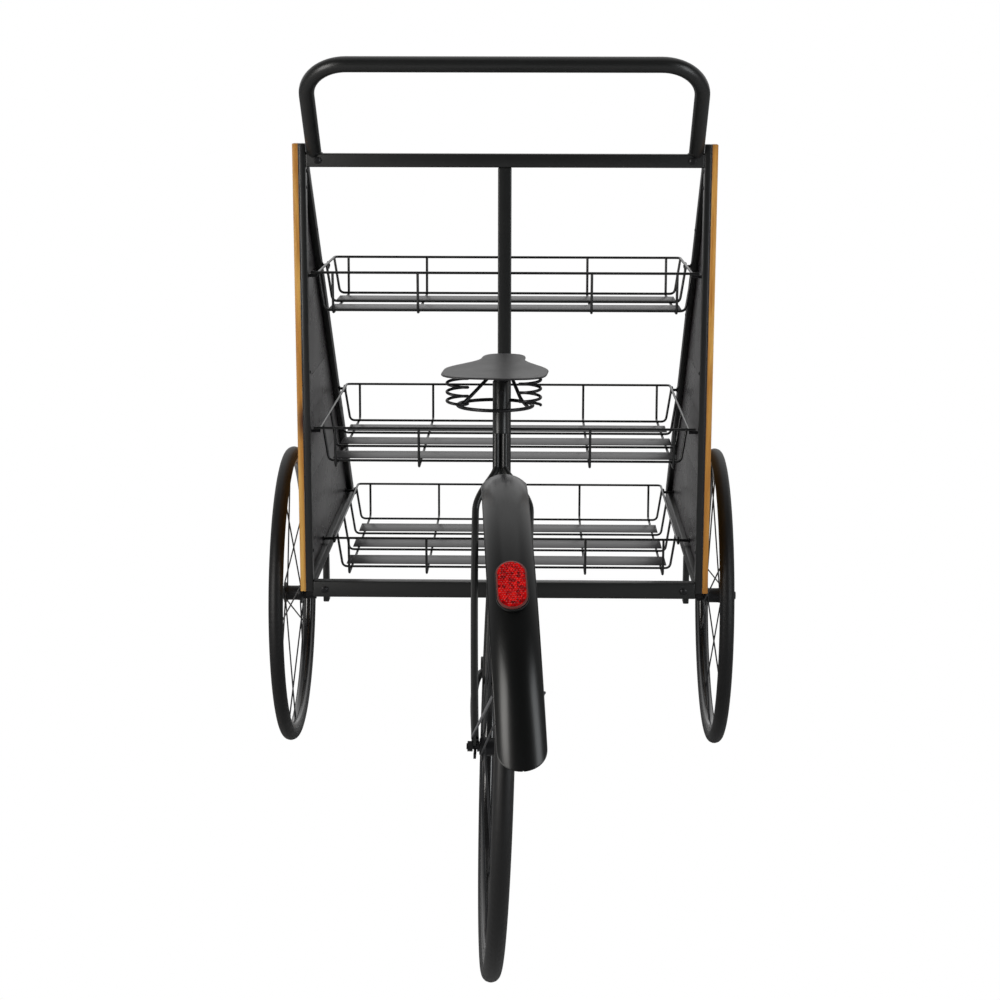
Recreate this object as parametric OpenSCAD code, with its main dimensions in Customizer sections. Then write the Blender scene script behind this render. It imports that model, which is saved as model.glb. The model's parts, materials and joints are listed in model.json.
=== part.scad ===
// Three-wheeled vending cart: a bicycle rear end with one wheel and a saddle, joined to a triangular
// display rack on two large wheels. Millimetres, +Z up, +Y towards the rack's open front, +X right.
// The origin is on the ground at the middle of the whole cart.

/* [Rack] */
// Width over the outside of the timber sides
rack_w = 785; // [600:5:900]
// Depth of the triangular side frames, from the rear posts to the front tip
rack_depth = 890; // [860:5:1100]
// Height of the top of the rear posts
post_top = 1240; // [1180:2:1400]
// Height of the underside of the side frames
frame_bottom = 388; // [350:2:440]
// Width of the frame bars, across the cart
bar_w = 12; // [10:1:20]
// Depth of the frame bars, in the plane of the side
bar_d = 25; // [20:1:32]
// Wall of the frame bars and square tubes
tube_wall = 1.5; // [1:0.25:3]
// Thickness of the timber boards
board_t = 11; // [8:0.5:18]
// Width of one upright timber board
board_w = 100; // [60:5:140]
// Thickness of the dark inner panels
panel_t = 1.5; // [1:0.25:4]
// Height of one strip of inner panel
strip_h = 200; // [120:10:260]
// Side of the square cross tubes and the centre post
cross_tube = 25; // [20:1:30]
// Height of the bottom cross tube
low_tube_h = 31; // [25:1:40]
// Height of the top face of the top cross tube
top_tube_z = 1222; // [1150:2:1300]

/* [Handle] */
// Diameter of the handle tube
handle_d = 28; // [20:0.5:32]
// How far the handle rises above the top cross tube
handle_rise = 160; // [100:5:260]
// How far the handle leans back over the saddle
handle_lean = 158; // [40:2:220]
// Bend radius of the handle corners, to the tube's centre
handle_bend = 76; // [40:2:100]

/* [Baskets] */
// Diameter of the basket wire
wire_d = 5; // [4:0.5:7]
// Clear side gap between a basket and the frame bars
basket_gap = 13; // [11:1:24]
// Height of a basket, rim to floor wires
basket_h = 72; // [50:1:110]
// How far the floor is narrower than the rim, each side
basket_taper = 11; // [4:1:20]
// Distance between the long floor wires
wire_pitch = 153; // [120:1:180]
// Width of a floor slat
slat_w = 75; // [40:1:90]
// Thickness of a floor slat
slat_t = 1.5; // [1:0.25:3]
// Rim height of the top basket
top_rim_z = 1000; // [960:2:1060]
// Rim height of the middle basket
middle_rim_z = 703; // [660:1:780]
// Rim height of the bottom basket
bottom_rim_z = 430; // [425:1:470]
// Depth of the top basket
top_depth = 332; // [325:1:360]
// Depth of the middle and bottom baskets
deep_depth = 556; // [520:1:600]
// How far the bottom basket starts in front of the rear posts
bottom_start = 276; // [240:2:290]
// Where the cross wires stand, as shares of the half width: inner pair
inner_wire = 0.465; // [0.3:0.005:0.6]
// Where the cross wires stand, as shares of the half width: outer pair
outer_wire = 0.92; // [0.8:0.005:0.95]

/* [Front wheels] */
// Diameter of the front wheels
front_wheel_d = 612; // [540:2:640]
// Distance between the front wheels, centre to centre
track = 875; // [865:1:1000]
// How far the pair of front wheels stands to the left on its axle
axle_shift = 5.5; // [0:0.5:8]
// How far the front axle is in front of the rear posts
axle_ahead = 302; // [240:2:420]
// Diameter of the front axle bar
axle_d = 16; // [14:0.5:20]
// Width of a front hub
front_hub_w = 44; // [36:1:50]

/* [Rear wheel] */
// Diameter of the rear wheel
rear_wheel_d = 706; // [620:2:720]
// How far the rear axle is behind the rear posts
rear_axle_back = 800; // [790:2:900]
// Diameter of the rear axle
rear_axle_d = 9.5; // [8:0.5:12]
// Width of the rear hub
rear_hub_w = 50; // [44:1:54]
// How far the rear wheel is turned out of line in its dropouts, degrees
wheel_skew = 2.6; // [0:0.2:3]
// How far the rear wheel leans in its dropouts, degrees
wheel_lean = 2; // [0:0.1:2.2]

/* [Wheel parts] */
// Thickness of the tyres
tyre_d = 29; // [24:1:36]
// Width of the rims
rim_w = 21; // [17:1:26]
// Height of the rim section
rim_h = 12; // [8:1:18]
// Number of spokes in a wheel
spoke_count = 12; // [8:4:24]
// Diameter of a spoke
spoke_d = 3; // [2:0.5:4]
// Diameter of the hub flanges
flange_d = 44; // [36:1:60]

/* [Fender] */
// Outer radius of the fender
fender_r = 402; // [380:1:410]
// Width of the fender
fender_w = 67; // [56:1:68]
// Thickness of the fender sheet
fender_t = 1.5; // [1:0.25:3]
// How far the fender's centre stands above the axle
fender_rise = 19; // [0:1:30]
// How far the fender is turned out of line, degrees
fender_skew = 2.2; // [0:0.2:3]
// How far the fender leans, degrees
fender_lean = 3.2; // [0:0.2:4]
// How far the fender stands to the right of the wheel
fender_shift = 21; // [0:1:24]
// Width of the reflector
reflector_w = 46; // [30:1:54]
// Length of the reflector
reflector_l = 82; // [50:1:100]

/* [Rear frame] */
// How far the seat tube stands behind the rear posts
seat_back = 380; // [376:1:420]
// Outer diameter of the seat tube
seat_tube_d = 28; // [25:0.5:34]
// Height of the top of the seat tube
seat_tube_top = 858; // [856:1:864]
// Diameter of the seat and chain stays
stay_d = 12; // [10:0.5:16]
// Distance between the stays beside the fender, centre to centre
stay_spread = 92; // [91:1:104]
// How far the pair of seat stays stands to the right beside the fender
stay_shift = 5; // [4.5:0.5:6]
// Distance between the dropout plates, centre to centre
dropout_spread = 64; // [62:1:80]
// Side of the two square beams that join the rear frame to the rack
beam = 26; // [22:1:28]

/* [Saddle] */
// Width of the saddle
saddle_w = 177; // [150:1:220]
// Length of the saddle
saddle_l = 250; // [220:1:280]
// Thickness of the saddle plate
saddle_t = 3; // [2:0.5:6]
// Height of the saddle's underside
saddle_z = 877; // [873:1:880]
// How far the saddle tips up at the nose, degrees
saddle_tip = 1.7; // [0:0.1:2]
// Outer diameter of a saddle spring
spring_d = 40; // [30:1:44]
// Wire of the saddle springs
spring_wire = 5; // [4:0.5:6]
// Turns in a saddle spring
spring_turns = 3; // [2:1:5]
// How far the saddle is swivelled on its post, degrees
saddle_turn = 5; // [0:1:8]
// How far the saddle stands to the left of its post
saddle_shift = 6; // [0:1:8]

/* [Fits] */
// Radial clearance of the wheel bearings on their axles
running = 0.05; // [0.02:0.01:0.1]
// Clearance between pieces that lift or slide past each other
clear = 0.5; // [0.4:0.1:1]

/* [Hidden] */
$fn = 48;

front_r = front_wheel_d / 2;
rear_r = rear_wheel_d / 2;
fender_end_angle = 12;
fender_front_angle = 4;
fender_pivot_back = seat_back + 60;
fender_back = rear_axle_back - fender_pivot_back + fender_r * cos(fender_end_angle);
// Rearmost point of the fender behind the rear posts, as the skewed end stands
cart_back = fender_pivot_back + fender_back * cos(fender_skew);
// Rear face of the rear posts in the cart's own frame
rack_y = (cart_back - rack_depth) / 2;
axle_y = rack_y + axle_ahead;
rear_y = rack_y - rear_axle_back;
seat_y = rack_y - seat_back;

timber_x = rack_w / 2 - board_t;      // inner face of the boards
panel_x = timber_x - panel_t;         // inner face of the dark panels, outer face of the bars
bar_x = panel_x - bar_w;              // inner face of the bars
slope = atan2(post_top - frame_bottom - bar_d, rack_depth - bar_d);
tip_h = 20;                           // height of the blunt front tip of a side frame
bottom_tube_z = frame_bottom - 11;    // underside of the bottom cross tube

red = [0.72, 0.03, 0.03];
paint = [0.09, 0.095, 0.1];
timber = [0.8, 0.6, 0.32];
rubber = [0.05, 0.05, 0.055];
bright = [0.3, 0.3, 0.31];

// --- shared shapes ---------------------------------------------------------------------------

// A round rod between two points
module rod(a, b, d) {
    v = b - a;
    translate(a) rotate([0, acos(v[2] / norm(v)), atan2(v[1], v[0])])
        cylinder(h = norm(v), d = d);
}

// A path through a list of points, with each corner rounded off over a short run
function corner(a, b, c, run) =
    let (p = b + run * unit(a - b), q = b + run * unit(c - b))
    [for (t = [0 : 0.25 : 1]) (1 - t) * (1 - t) * p + 2 * t * (1 - t) * b + t * t * q];
function rounded(points, run) = concat([points[0]],
    [for (i = [1 : len(points) - 2]) each corner(points[i - 1], points[i], points[i + 1], run)],
    [points[len(points) - 1]]);

// A wire bent in one plane; side is that plane's normal
module wire(points, d, side, run = 10) {
    swept_tube(rounded(points, run), d, function (p, i) side, 8);
}

// A round tube swept along a path; side gives each ring a direction to start from
function unit(v) = v / norm(v);
function tangent(p, i) = unit(p[min(i + 1, len(p) - 1)] - p[max(i - 1, 0)]);
function ring(c, t, d, side, n) =
    let (u = unit(cross(side, t)), w = cross(t, u))
    [for (k = [0 : n - 1]) c + d / 2 * (cos(360 * k / n) * u + sin(360 * k / n) * w)];
module swept_tube(path, d, side, n = 12) {
    m = len(path);
    points = [for (i = [0 : m - 1]) each ring(path[i], tangent(path, i), d, side(path, i), n)];
    faces = concat(
        [[for (k = [0 : n - 1]) k]],
        [for (i = [0 : m - 2], k = [0 : n - 1])
            [i * n + k, (i + 1) * n + k, (i + 1) * n + (k + 1) % n, i * n + (k + 1) % n]],
        [[for (k = [n - 1 : -1 : 0]) (m - 1) * n + k]]);
    polyhedron(points, faces, convexity = 10);
}

// A YZ outline extruded across the cart from x to x + w
module across(x, w, outline) {
    translate([x, 0, 0]) rotate([90, 0, 90]) linear_extrude(w) polygon(outline);
}

// A closed rectangular tube standing in a box
module box_tube(corner, size) {
    inner = [tube_wall, tube_wall, tube_wall];
    difference() {
        translate(corner) cube(size);
        translate(corner + inner) cube(size - 2 * inner);
    }
}

// A hexagon nut or bolt head along +X, with its washer
module hex_x(d, h) {
    rotate([0, 90, 0]) cylinder(h = h, d = d, $fn = 6);
}

// A round bolt head along -Y
module dome_head(d, h) {
    rotate([90, 0, 0]) {
        cylinder(h = h * 0.6, d = d);
        translate([0, 0, h * 0.6]) cylinder(h = h * 0.4, d1 = d, d2 = d * 0.6);
    }
}

// --- side frames -----------------------------------------------------------------------------

// One side's X range, mirrored for the left
function side_x(side, x, w) = side > 0 ? x : -x - w;

// Height and depth of points on the sloping front edge
front_top = [rack_y + bar_d, post_top];
front_tip = [rack_y + rack_depth, frame_bottom + tip_h];
front_slope = (front_tip[0] - front_top[0]) / (front_top[1] - front_tip[1]);
function front_y(z) = front_top[0] + (front_top[1] - z) * front_slope;
bar_run = bar_d * sqrt(1 + front_slope * front_slope);

module rear_post(side) {
    color(paint) box_tube([side_x(side, bar_x, bar_w), rack_y, frame_bottom],
        [bar_w, bar_d, post_top - frame_bottom]);
}

module front_bar(side) {
    floor_z = frame_bottom + bar_d;
    outline = [front_top, [front_y(floor_z), floor_z], [front_y(floor_z) - bar_run, floor_z],
        [front_top[0], post_top - bar_run / front_slope]];
    color(paint) difference() {
        across(side_x(side, bar_x, bar_w), bar_w, outline);
        across(side_x(side, bar_x + tube_wall, bar_w - 2 * tube_wall), bar_w - 2 * tube_wall,
            [[front_y(post_top - 60) - tube_wall * 1.5, post_top - 60],
             [front_y(floor_z + 30) - tube_wall * 1.5, floor_z + 30],
             [front_y(floor_z + 30) - bar_run + tube_wall * 1.5, floor_z + 30],
             [front_y(post_top - 60) - bar_run + tube_wall * 1.5, post_top - 60]]);
    }
}

module bottom_bar(side) {
    z = frame_bottom + bar_d;
    inset = tube_wall;
    color(paint) difference() {
        across(side_x(side, bar_x, bar_w), bar_w,
            [[front_top[0], frame_bottom], [front_tip[0], frame_bottom], front_tip,
             [front_y(z), z], [front_top[0], z]]);
        across(side_x(side, bar_x + inset, bar_w - 2 * inset), bar_w - 2 * inset,
            [[front_top[0] + inset, frame_bottom + inset],
             [front_tip[0] - 2 * bar_d, frame_bottom + inset],
             [front_tip[0] - 2 * bar_d, z - inset], [front_top[0] + inset, z - inset]]);
    }
}

// Short members that hang the axle below the side frames
module axle_drops() {
    low = front_r - axle_d / 2 - 8;
    color(paint) for (side = [-1, 1]) difference() {
        translate([side_x(side, bar_x, bar_w), axle_y - bar_d / 2, low])
            cube([bar_w, bar_d, frame_bottom - low]);
        translate([0, axle_y, front_r]) rotate([0, 90, 0])
            cylinder(h = rack_w, d = axle_d, center = true);
    }
}

// Outline of the whole side, for the boards and panels
side_outline = [[rack_y, frame_bottom], [front_tip[0], frame_bottom], front_tip, front_top,
    [rack_y, post_top]];

joint = 0.8;                          // open joint between two boards or two strips of panel

// The side cut into level strips of dark panel
module inner_panel(side) {
    x = side_x(side, panel_x, panel_t);
    color([0.17, 0.165, 0.17]) for (z = [frame_bottom : strip_h : post_top - joint])
        intersection() {
            across(x, panel_t, side_outline);
            translate([x - 1, rack_y - 1, z + joint / 2])
                cube([panel_t + 2, rack_depth + 2, strip_h - joint]);
        }
}

// The side cut into upright boards
module timber_boards(side) {
    x = side_x(side, timber_x, board_t);
    color(timber) for (y = [rack_y : board_w : rack_y + rack_depth - joint])
        intersection() {
            across(x, board_t, side_outline);
            translate([x - 1, y + joint / 2, frame_bottom - 1])
                cube([board_t + 2, board_w - joint, post_top]);
        }
}

// Screw heads on the inner faces of the bars
post_screws = [post_top - 50, post_top - 80, post_top - 426, frame_bottom + 79];
slope_screws = [0.2, 0.42, 0.7, 0.86];
module board_screws() {
    bar_len = post_top - frame_bottom;
    color(bright) for (side = [-1, 1], i = [0 : 3]) {
        z = post_top - slope_screws[i] * bar_len;
        for (spot = [[rack_y + bar_d / 2, post_screws[i]], [front_y(z) - bar_run / 2, z]])
            translate([side * bar_x, spot[0], spot[1]]) rotate([0, -90 * side, 0])
                cylinder(h = 1.8, d1 = 7.2, d2 = 4);
    }
}

// --- cross members ---------------------------------------------------------------------------

module cross_member(z, h) {
    box_tube([-bar_x, rack_y, z], [2 * bar_x, cross_tube, h]);
}

module top_cross_tube() {
    color(paint) difference() {
        cross_member(top_tube_z - cross_tube, cross_tube);
        bolt_holes(bolt_levels[0]);
    }
}

module bottom_cross_tube() {
    color(paint) difference() {
        cross_member(bottom_tube_z, low_tube_h);
        bolt_holes(bolt_levels[1]);
    }
}

bolt_in = 22;                         // bolts stand this far in from the ends of the cross tubes
bolt_d = 6;
tab_t = 3;
bolt_levels = [top_tube_z - cross_tube / 2, bottom_tube_z + 15];

module bolt_holes(z) {
    for (side = [-1, 1]) translate([side * (bar_x - bolt_in), rack_y - 1, z]) rotate([-90, 0, 0])
        cylinder(h = cross_tube + 2, d = bolt_d + 0.4);
}

// Angle tabs inside the corners, which the cross tubes are bolted to
module corner_tabs() {
    color(paint) for (side = [-1, 1], z = bolt_levels) difference() {
        translate([side > 0 ? bar_x - 36 : -bar_x, rack_y + cross_tube, z - 10])
            cube([36, tab_t, 20]);
        translate([side * (bar_x - bolt_in), rack_y + cross_tube - 1, z]) rotate([-90, 0, 0])
            cylinder(h = tab_t + 2, d = bolt_d + 0.4);
    }
}

module frame_bolts() {
    color(bright) for (side = [-1, 1], z = bolt_levels)
        translate([side * (bar_x - bolt_in), rack_y, z]) {
            dome_head(13, 4);
            rotate([-90, 0, 0]) cylinder(h = cross_tube + tab_t + 7, d = bolt_d);
            translate([0, cross_tube + tab_t, 0]) rotate([-90, 0, 0])
                cylinder(h = 5, d = 11, $fn = 6);
        }
}

module centre_post() {
    low = bottom_tube_z + low_tube_h;
    color(paint) box_tube([-cross_tube / 2, rack_y, low],
        [cross_tube, cross_tube, top_tube_z - cross_tube - low]);
}

// --- handle ----------------------------------------------------------------------------------

handle_x = bar_x - 15;                // centre of a handle leg
handle_reach = norm([handle_lean, handle_rise]);

module handle_loop(d) {
    leg = handle_reach - handle_bend;
    for (side = [-1, 1]) {
        translate([side * handle_x, 0, -40]) cylinder(h = leg + 40, d = d);
        translate([side * (handle_x - handle_bend), 0, leg]) rotate([90, 0, 0])
            rotate([0, 0, side > 0 ? 0 : 90]) rotate_extrude(angle = 90)
                translate([handle_bend, 0]) circle(d = d);
    }
    translate([-handle_x + handle_bend, 0, handle_reach]) rotate([0, 90, 0])
        cylinder(h = 2 * (handle_x - handle_bend), d = d);
}

module push_handle() {
    color(paint) difference() {
        translate([0, rack_y + cross_tube / 2, top_tube_z])
            rotate([atan2(handle_lean, handle_rise), 0, 0]) handle_loop(handle_d);
        translate([-rack_w, rack_y - 200, top_tube_z - 200]) cube([2 * rack_w, 400, 200]);
    }
}

// --- baskets ---------------------------------------------------------------------------------

rim_x = bar_x - basket_gap - wire_d / 2;
floor_x = rim_x - basket_taper;
peg_d = 6;
peg_head_d = 11;
post_gap = 4;                         // clear gap between the posts and a basket's rear rim
near_y = bar_d + wire_d / 2 + post_gap;
hook_r = peg_d / 2 + clear + wire_d / 2;
hook_x = rim_x + wire_d * 0.76;       // centre plane of the hook wires, welded to the side rim

// Each basket: rear rim, depth, rim height, number of long floor wires
top_basket = [rack_y + near_y, top_depth, top_rim_z, 3];
middle_basket = [rack_y + near_y, deep_depth, middle_rim_z, 4];
bottom_basket = [rack_y + bottom_start, deep_depth, bottom_rim_z, 4];
baskets = [top_basket, middle_basket, bottom_basket];

function at_posts(b) = b[0] < rack_y + near_y + 1;

// The upper baskets' far pegs stand in the sloping bars; every other peg stands on a side panel
function far_peg(b) = [at_posts(b) ? front_y(b[2] - 8) - bar_run / 2 : b[0] + b[1] - 40, b[2] - 8];
function rear_peg(b) = at_posts(b)
    ? [b[0] + 3, b[2] - wire_d / 2 - clear - peg_d / 2]
    : [b[0] + 30, b[2] - 8];
function floor_start(b) = b[0] + (b[1] - (b[3] - 1) * wire_pitch) / 2;
cross_wires = [-outer_wire, -inner_wire, inner_wire, outer_wire];

// An upside-down hook that hangs over a peg at y, z, welded to the side rim
module hook(side, y, z) {
    translate([side * hook_x, y, z]) {
        swept_tube(concat([[0, hook_r, -7]],
            [for (a = [0 : 22.5 : 180]) [0, hook_r * cos(a), hook_r * sin(a)]],
            [[0, -hook_r, -7]]), wire_d, across_side, 8);
    }
}

module basket_wires(b) {
    y0 = b[0];
    y1 = b[0] + b[1];
    rim_z = b[2];
    floor_z = b[2] - basket_h;
    under_z = floor_z - wire_d + 1;
    rear_x = at_posts(b) ? bar_x - 3 : rim_x;
    color(paint) union() {
        // rear rim, and the rest of the rim bent from one wire
        wire([[-rear_x, y0, rim_z], [rear_x, y0, rim_z]], wire_d, [0, 1, 0]);
        wire([[-rim_x, y0, rim_z], [-rim_x, y1, rim_z], [rim_x, y1, rim_z], [rim_x, y0, rim_z]],
            wire_d, [0, 0, 1]);
        for (side = [-1, 1]) {
            hook(side, far_peg(b)[0], far_peg(b)[1]);
            if (!at_posts(b)) hook(side, rear_peg(b)[0], rear_peg(b)[1]);
        }
        // long wires, turned up to the side rims
        for (i = [0 : b[3] - 1]) {
            y = floor_start(b) + i * wire_pitch;
            wire([[-rim_x, y, rim_z], [-floor_x, y, floor_z], [floor_x, y, floor_z],
                [rim_x, y, rim_z]], wire_d, [0, 1, 0]);
        }
        // cross wires under them, turned up to the rear and front rims
        for (k = cross_wires)
            wire([[k * rim_x, y0, rim_z], [k * rim_x, y0 + 4, under_z],
                [k * rim_x, y1 - 4, under_z], [k * rim_x, y1, rim_z]], wire_d, [1, 0, 0]);
    }
}

module basket_slats(b) {
    floor_z = b[2] - basket_h;
    color([0.14, 0.14, 0.15]) for (i = [0 : b[3] - 2])
        translate([-floor_x + wire_d, floor_start(b) + i * wire_pitch + (wire_pitch - slat_w) * 0.35,
                floor_z - wire_d / 2 + 1])
            cube([2 * (floor_x - wire_d), slat_w, slat_t]);
}

// A headed peg that stands out from a face at base_x to just past the hooks
module peg(side, base_x, spot) {
    tip_x = hook_x - wire_d / 2 - clear - 1;
    translate([side * base_x, spot[0], spot[1]]) rotate([0, -90 * side, 0]) {
        cylinder(h = base_x - tip_x, d = peg_d);
        cylinder(h = 2, d = peg_head_d);
    }
}

module basket_pegs() {
    color(bright) for (b = baskets, side = [-1, 1]) {
        peg(side, at_posts(b) ? bar_x : panel_x, far_peg(b));
        peg(side, panel_x, rear_peg(b));
    }
}

// --- wheels ----------------------------------------------------------------------------------

// Built round the X axis at the origin
module tyre(r) {
    seat_r = r - tyre_d + 5;
    color(rubber) rotate([0, 90, 0]) rotate_extrude($fn = 96) difference() {
        translate([r - tyre_d / 2, 0]) circle(d = tyre_d);
        translate([seat_r - 20, -tyre_d]) square([20, 2 * tyre_d]);
    }
}

module rim(r) {
    seat_r = r - tyre_d + 5;
    w = rim_w / 2;
    color(paint) rotate([0, 90, 0]) rotate_extrude($fn = 96)
        polygon([[seat_r, -w], [seat_r, w], [seat_r - rim_h * 0.45, w], [seat_r - rim_h, w * 0.45],
            [seat_r - rim_h, -w * 0.45], [seat_r - rim_h * 0.45, -w]]);
}

module spokes(r, hub_w) {
    rim_r = r - tyre_d + 5 - rim_h + 2;
    flange_x = hub_w / 2 - 5;
    hole_r = flange_d / 2 - 4;
    spoke_step = spoke_d - 0.4;       // leading and trailing spokes lie on the flange's two faces
    color(bright) for (i = [0 : spoke_count - 1]) {
        side = i % 2 == 0 ? 1 : -1;
        trail = floor(i / 2) % 2 == 0 ? 1 : -1;
        a = i * 360 / spoke_count;
        b = a + trail * 50;
        rod([side * (flange_x + trail * spoke_step), hole_r * cos(b), hole_r * sin(b)],
            [side * 2, rim_r * cos(a), rim_r * sin(a)], spoke_d);
    }
}

module hub(hub_w, pin_d, barrel_d) {
    color(bright) difference() {
        rotate([0, 90, 0]) {
            cylinder(h = hub_w, d = barrel_d, center = true);
            for (s = [-1, 1]) translate([0, 0, s * (hub_w / 2 - 5)])
                cylinder(h = 3.5, d = flange_d, center = true);
        }
        rotate([0, 90, 0]) cylinder(h = hub_w + 2, d = pin_d + 2 * running, center = true);
    }
}

module at_front_wheel(side) {
    translate([side * track / 2 - axle_shift, axle_y, front_r]) children();
}

module at_rear_wheel() {
    translate([0, rear_y, rear_r]) rotate([0, wheel_lean, wheel_skew]) children();
}

// One plain bar runs through both drops and carries both front wheels
hub_face = track / 2 + axle_shift + front_hub_w / 2 + clear;
axle_end = hub_face + 12;
module front_axle() {
    color(bright) translate([-axle_end, axle_y, front_r]) rotate([0, 90, 0])
        cylinder(h = 2 * axle_end, d = axle_d);
}

// Collars that keep each hub off the timber side, and a spacer outside the right hub
module axle_collars() {
    inner = rack_w / 2 + 3;
    left = track / 2 + axle_shift - front_hub_w / 2 - clear;
    right = track / 2 - axle_shift - front_hub_w / 2 - clear;
    color(bright) difference() {
        for (reach = [[-left, -inner], [inner, right], [hub_face - 2 * axle_shift, hub_face]])
            translate([reach[0], axle_y, front_r]) rotate([0, 90, 0])
                cylinder(h = reach[1] - reach[0], d = axle_d + 8);
        translate([0, axle_y, front_r]) rotate([0, 90, 0])
            cylinder(h = 2 * track, d = axle_d, center = true);
    }
}

module axle_cap_nuts() {
    nut_h = 9;
    color(bright) for (side = [-1, 1]) translate([0, axle_y, front_r]) difference() {
        translate([side > 0 ? hub_face : -hub_face - nut_h, 0, 0]) rotate([0, 90, 0])
            cylinder(h = nut_h, d = axle_d + 8, $fn = 6);
        rotate([0, 90, 0]) cylinder(h = 2 * axle_end, d = axle_d, center = true);
    }
}

// --- rear frame ------------------------------------------------------------------------------

post_d = seat_tube_d - 4;             // seat post, a sliding fit in the seat tube
foot_z = rear_r - 16;                 // bottom of the seat tube
plate_t = 4;
seat_bolt_z = seat_tube_top - 17;
shell_w = 68;
shell_d = 38;

module seat_tube() {
    color(paint) difference() {
        translate([0, seat_y, foot_z]) cylinder(h = seat_tube_top - foot_z, d = seat_tube_d);
        translate([0, seat_y, foot_z + 3]) cylinder(h = seat_tube_top, d = post_d + 2 * running);
        translate([0, seat_y, seat_bolt_z]) rotate([90, 0, 0])
            cylinder(h = seat_tube_d, d = 5);
    }
    // bottom bracket shell, which the chain stays run to
    color(paint) translate([-shell_w / 2, seat_y, rear_r]) rotate([0, 90, 0]) difference() {
        cylinder(h = shell_w, d = shell_d);
        translate([0, 0, -1]) cylinder(h = shell_w / 2 - seat_tube_d / 2, d = shell_d - 6);
        translate([0, 0, shell_w / 2 + seat_tube_d / 2 + 1])
            cylinder(h = shell_w / 2 - seat_tube_d / 2, d = shell_d - 6);
    }
}

// A square beam from the seat tube forward to a flat face at y1
module beam_to(z, y1, low_y) {
    color(paint) difference() {
        box_tube([-beam / 2, seat_y, z], [beam, y1 - seat_y, beam]);
        translate([0, seat_y, z - 1]) cylinder(h = beam + 2, d = seat_tube_d);
    }
}

upper_beam_z = 590;
module upper_beam() { beam_to(upper_beam_z, rack_y); }
module lower_beam() { beam_to(bottom_tube_z, rack_y); }

// Seat stay: down the back of the seat tube, out round the fender and straight to the dropout
stay_top_z = seat_tube_top - 87;
stay_knee_z = stay_top_z - 57;
wide_z = stay_top_z - 123;
wide_y = seat_y - 76;
function ease(t) = t * t * (3 - 2 * t);
function seat_stay_path(side) =
    let (start_x = stay_d / 2 + 1, tube_back = seat_y - seat_tube_d / 2 - stay_d / 2 + 1,
        wide_x = stay_spread / 2 + side * stay_shift, end_x = dropout_spread / 2)
    concat(
        [for (i = [0 : 2]) [side * start_x, tube_back - 3 * i, stay_top_z - 28.5 * i]],
        [for (i = [1 : 9]) let (t = i / 9)
            [side * (start_x + (wide_x - start_x) * ease(t)),
             tube_back - 6 + (wide_y - tube_back + 6) * t,
             stay_knee_z + (wide_z - stay_knee_z) * (t * 0.6 + t * t * 0.4)]],
        [for (i = [1 : 6]) let (t = i / 6)
            [side * (wide_x + (end_x - wide_x) * pow(t, 1.6)), wide_y + (rear_y - wide_y) * t,
             wide_z + (rear_r + 14 - wide_z) * t]]);

// Chain stay: from the bottom bracket shell out past the tyre and back to the dropout
chain_bow = 13;
function chain_stay_path(side) =
    let (start = [26, seat_y - shell_d / 2 + 2], end = [dropout_spread / 2, rear_y + 20])
    [for (i = [0 : 12]) let (t = i / 12)
        [side * (start[0] + (end[0] - start[0]) * t + chain_bow * sin(180 * pow(t, 0.55))),
         start[1] + (end[1] - start[1]) * t, rear_r]];

across_side = function (path, i) [1, 0, 0];

module seat_stay(side) { color(paint) swept_tube(seat_stay_path(side), stay_d, across_side); }
module chain_stay(side) { color(paint) swept_tube(chain_stay_path(side), stay_d, across_side); }

// Plate on each side with a slot for the axle, open to the rear
module dropouts() {
    slot = rear_axle_d + 4;
    color(paint) for (side = [-1, 1]) difference() {
        translate([side * dropout_spread / 2 - plate_t / 2, rear_y - 16, rear_r - 14])
            cube([plate_t, 30, 36]);
        translate([side * dropout_spread / 2 - plate_t, rear_y, rear_r]) rotate([0, 90, 0])
            cylinder(h = 2 * plate_t, d = slot);
        translate([side * dropout_spread / 2 - plate_t, rear_y - 20, rear_r - slot / 2])
            cube([2 * plate_t, 20, slot]);
    }
}

// A strut each side from the dropout up to the fender's edge
strut_d = 4;
module fender_struts() {
    color(paint) for (side = [-1, 1]) {
        foot = [side * (dropout_spread / 2 + plate_t / 2 + strut_d / 2), rear_y - 4, rear_r + 18];
        rod(foot, on_fender([side * (fender_w / 2 + strut_d / 2 - 0.6),
            -(fender_r - crown) * cos(strut_angle), (fender_r - crown) * sin(strut_angle)]), strut_d);
    }
}

module rear_axle() {
    color(bright) at_rear_wheel() rotate([0, 90, 0])
        cylinder(h = dropout_spread + 26, d = rear_axle_d, center = true);
}

module rear_axle_nuts() {
    outer = dropout_spread / 2 + plate_t / 2 + 1.5;
    inner = rear_hub_w / 2 + clear;
    lock = dropout_spread / 2 - plate_t / 2 - 1.5 - inner;
    color(bright) at_rear_wheel() difference() {
        for (side = [-1, 1]) {
            translate([side > 0 ? outer : -outer - 8, 0, 0]) hex_x(17, 8);
            translate([side > 0 ? inner : -inner - lock, 0, 0]) hex_x(17, lock);
        }
        rotate([0, 90, 0]) cylinder(h = 200, d = rear_axle_d, center = true);
    }
}

// --- fender and reflector --------------------------------------------------------------------

// A frame turned with the fender: its pivot is just behind the seat tube
module at_fender() {
    translate([fender_shift, rack_y - fender_pivot_back, 0]) rotate([0, 0, fender_skew])
        translate([0, fender_pivot_back - rear_axle_back, rear_r]) rotate([0, -fender_lean, 0])
            translate([0, 0, fender_rise]) children();
}

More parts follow.
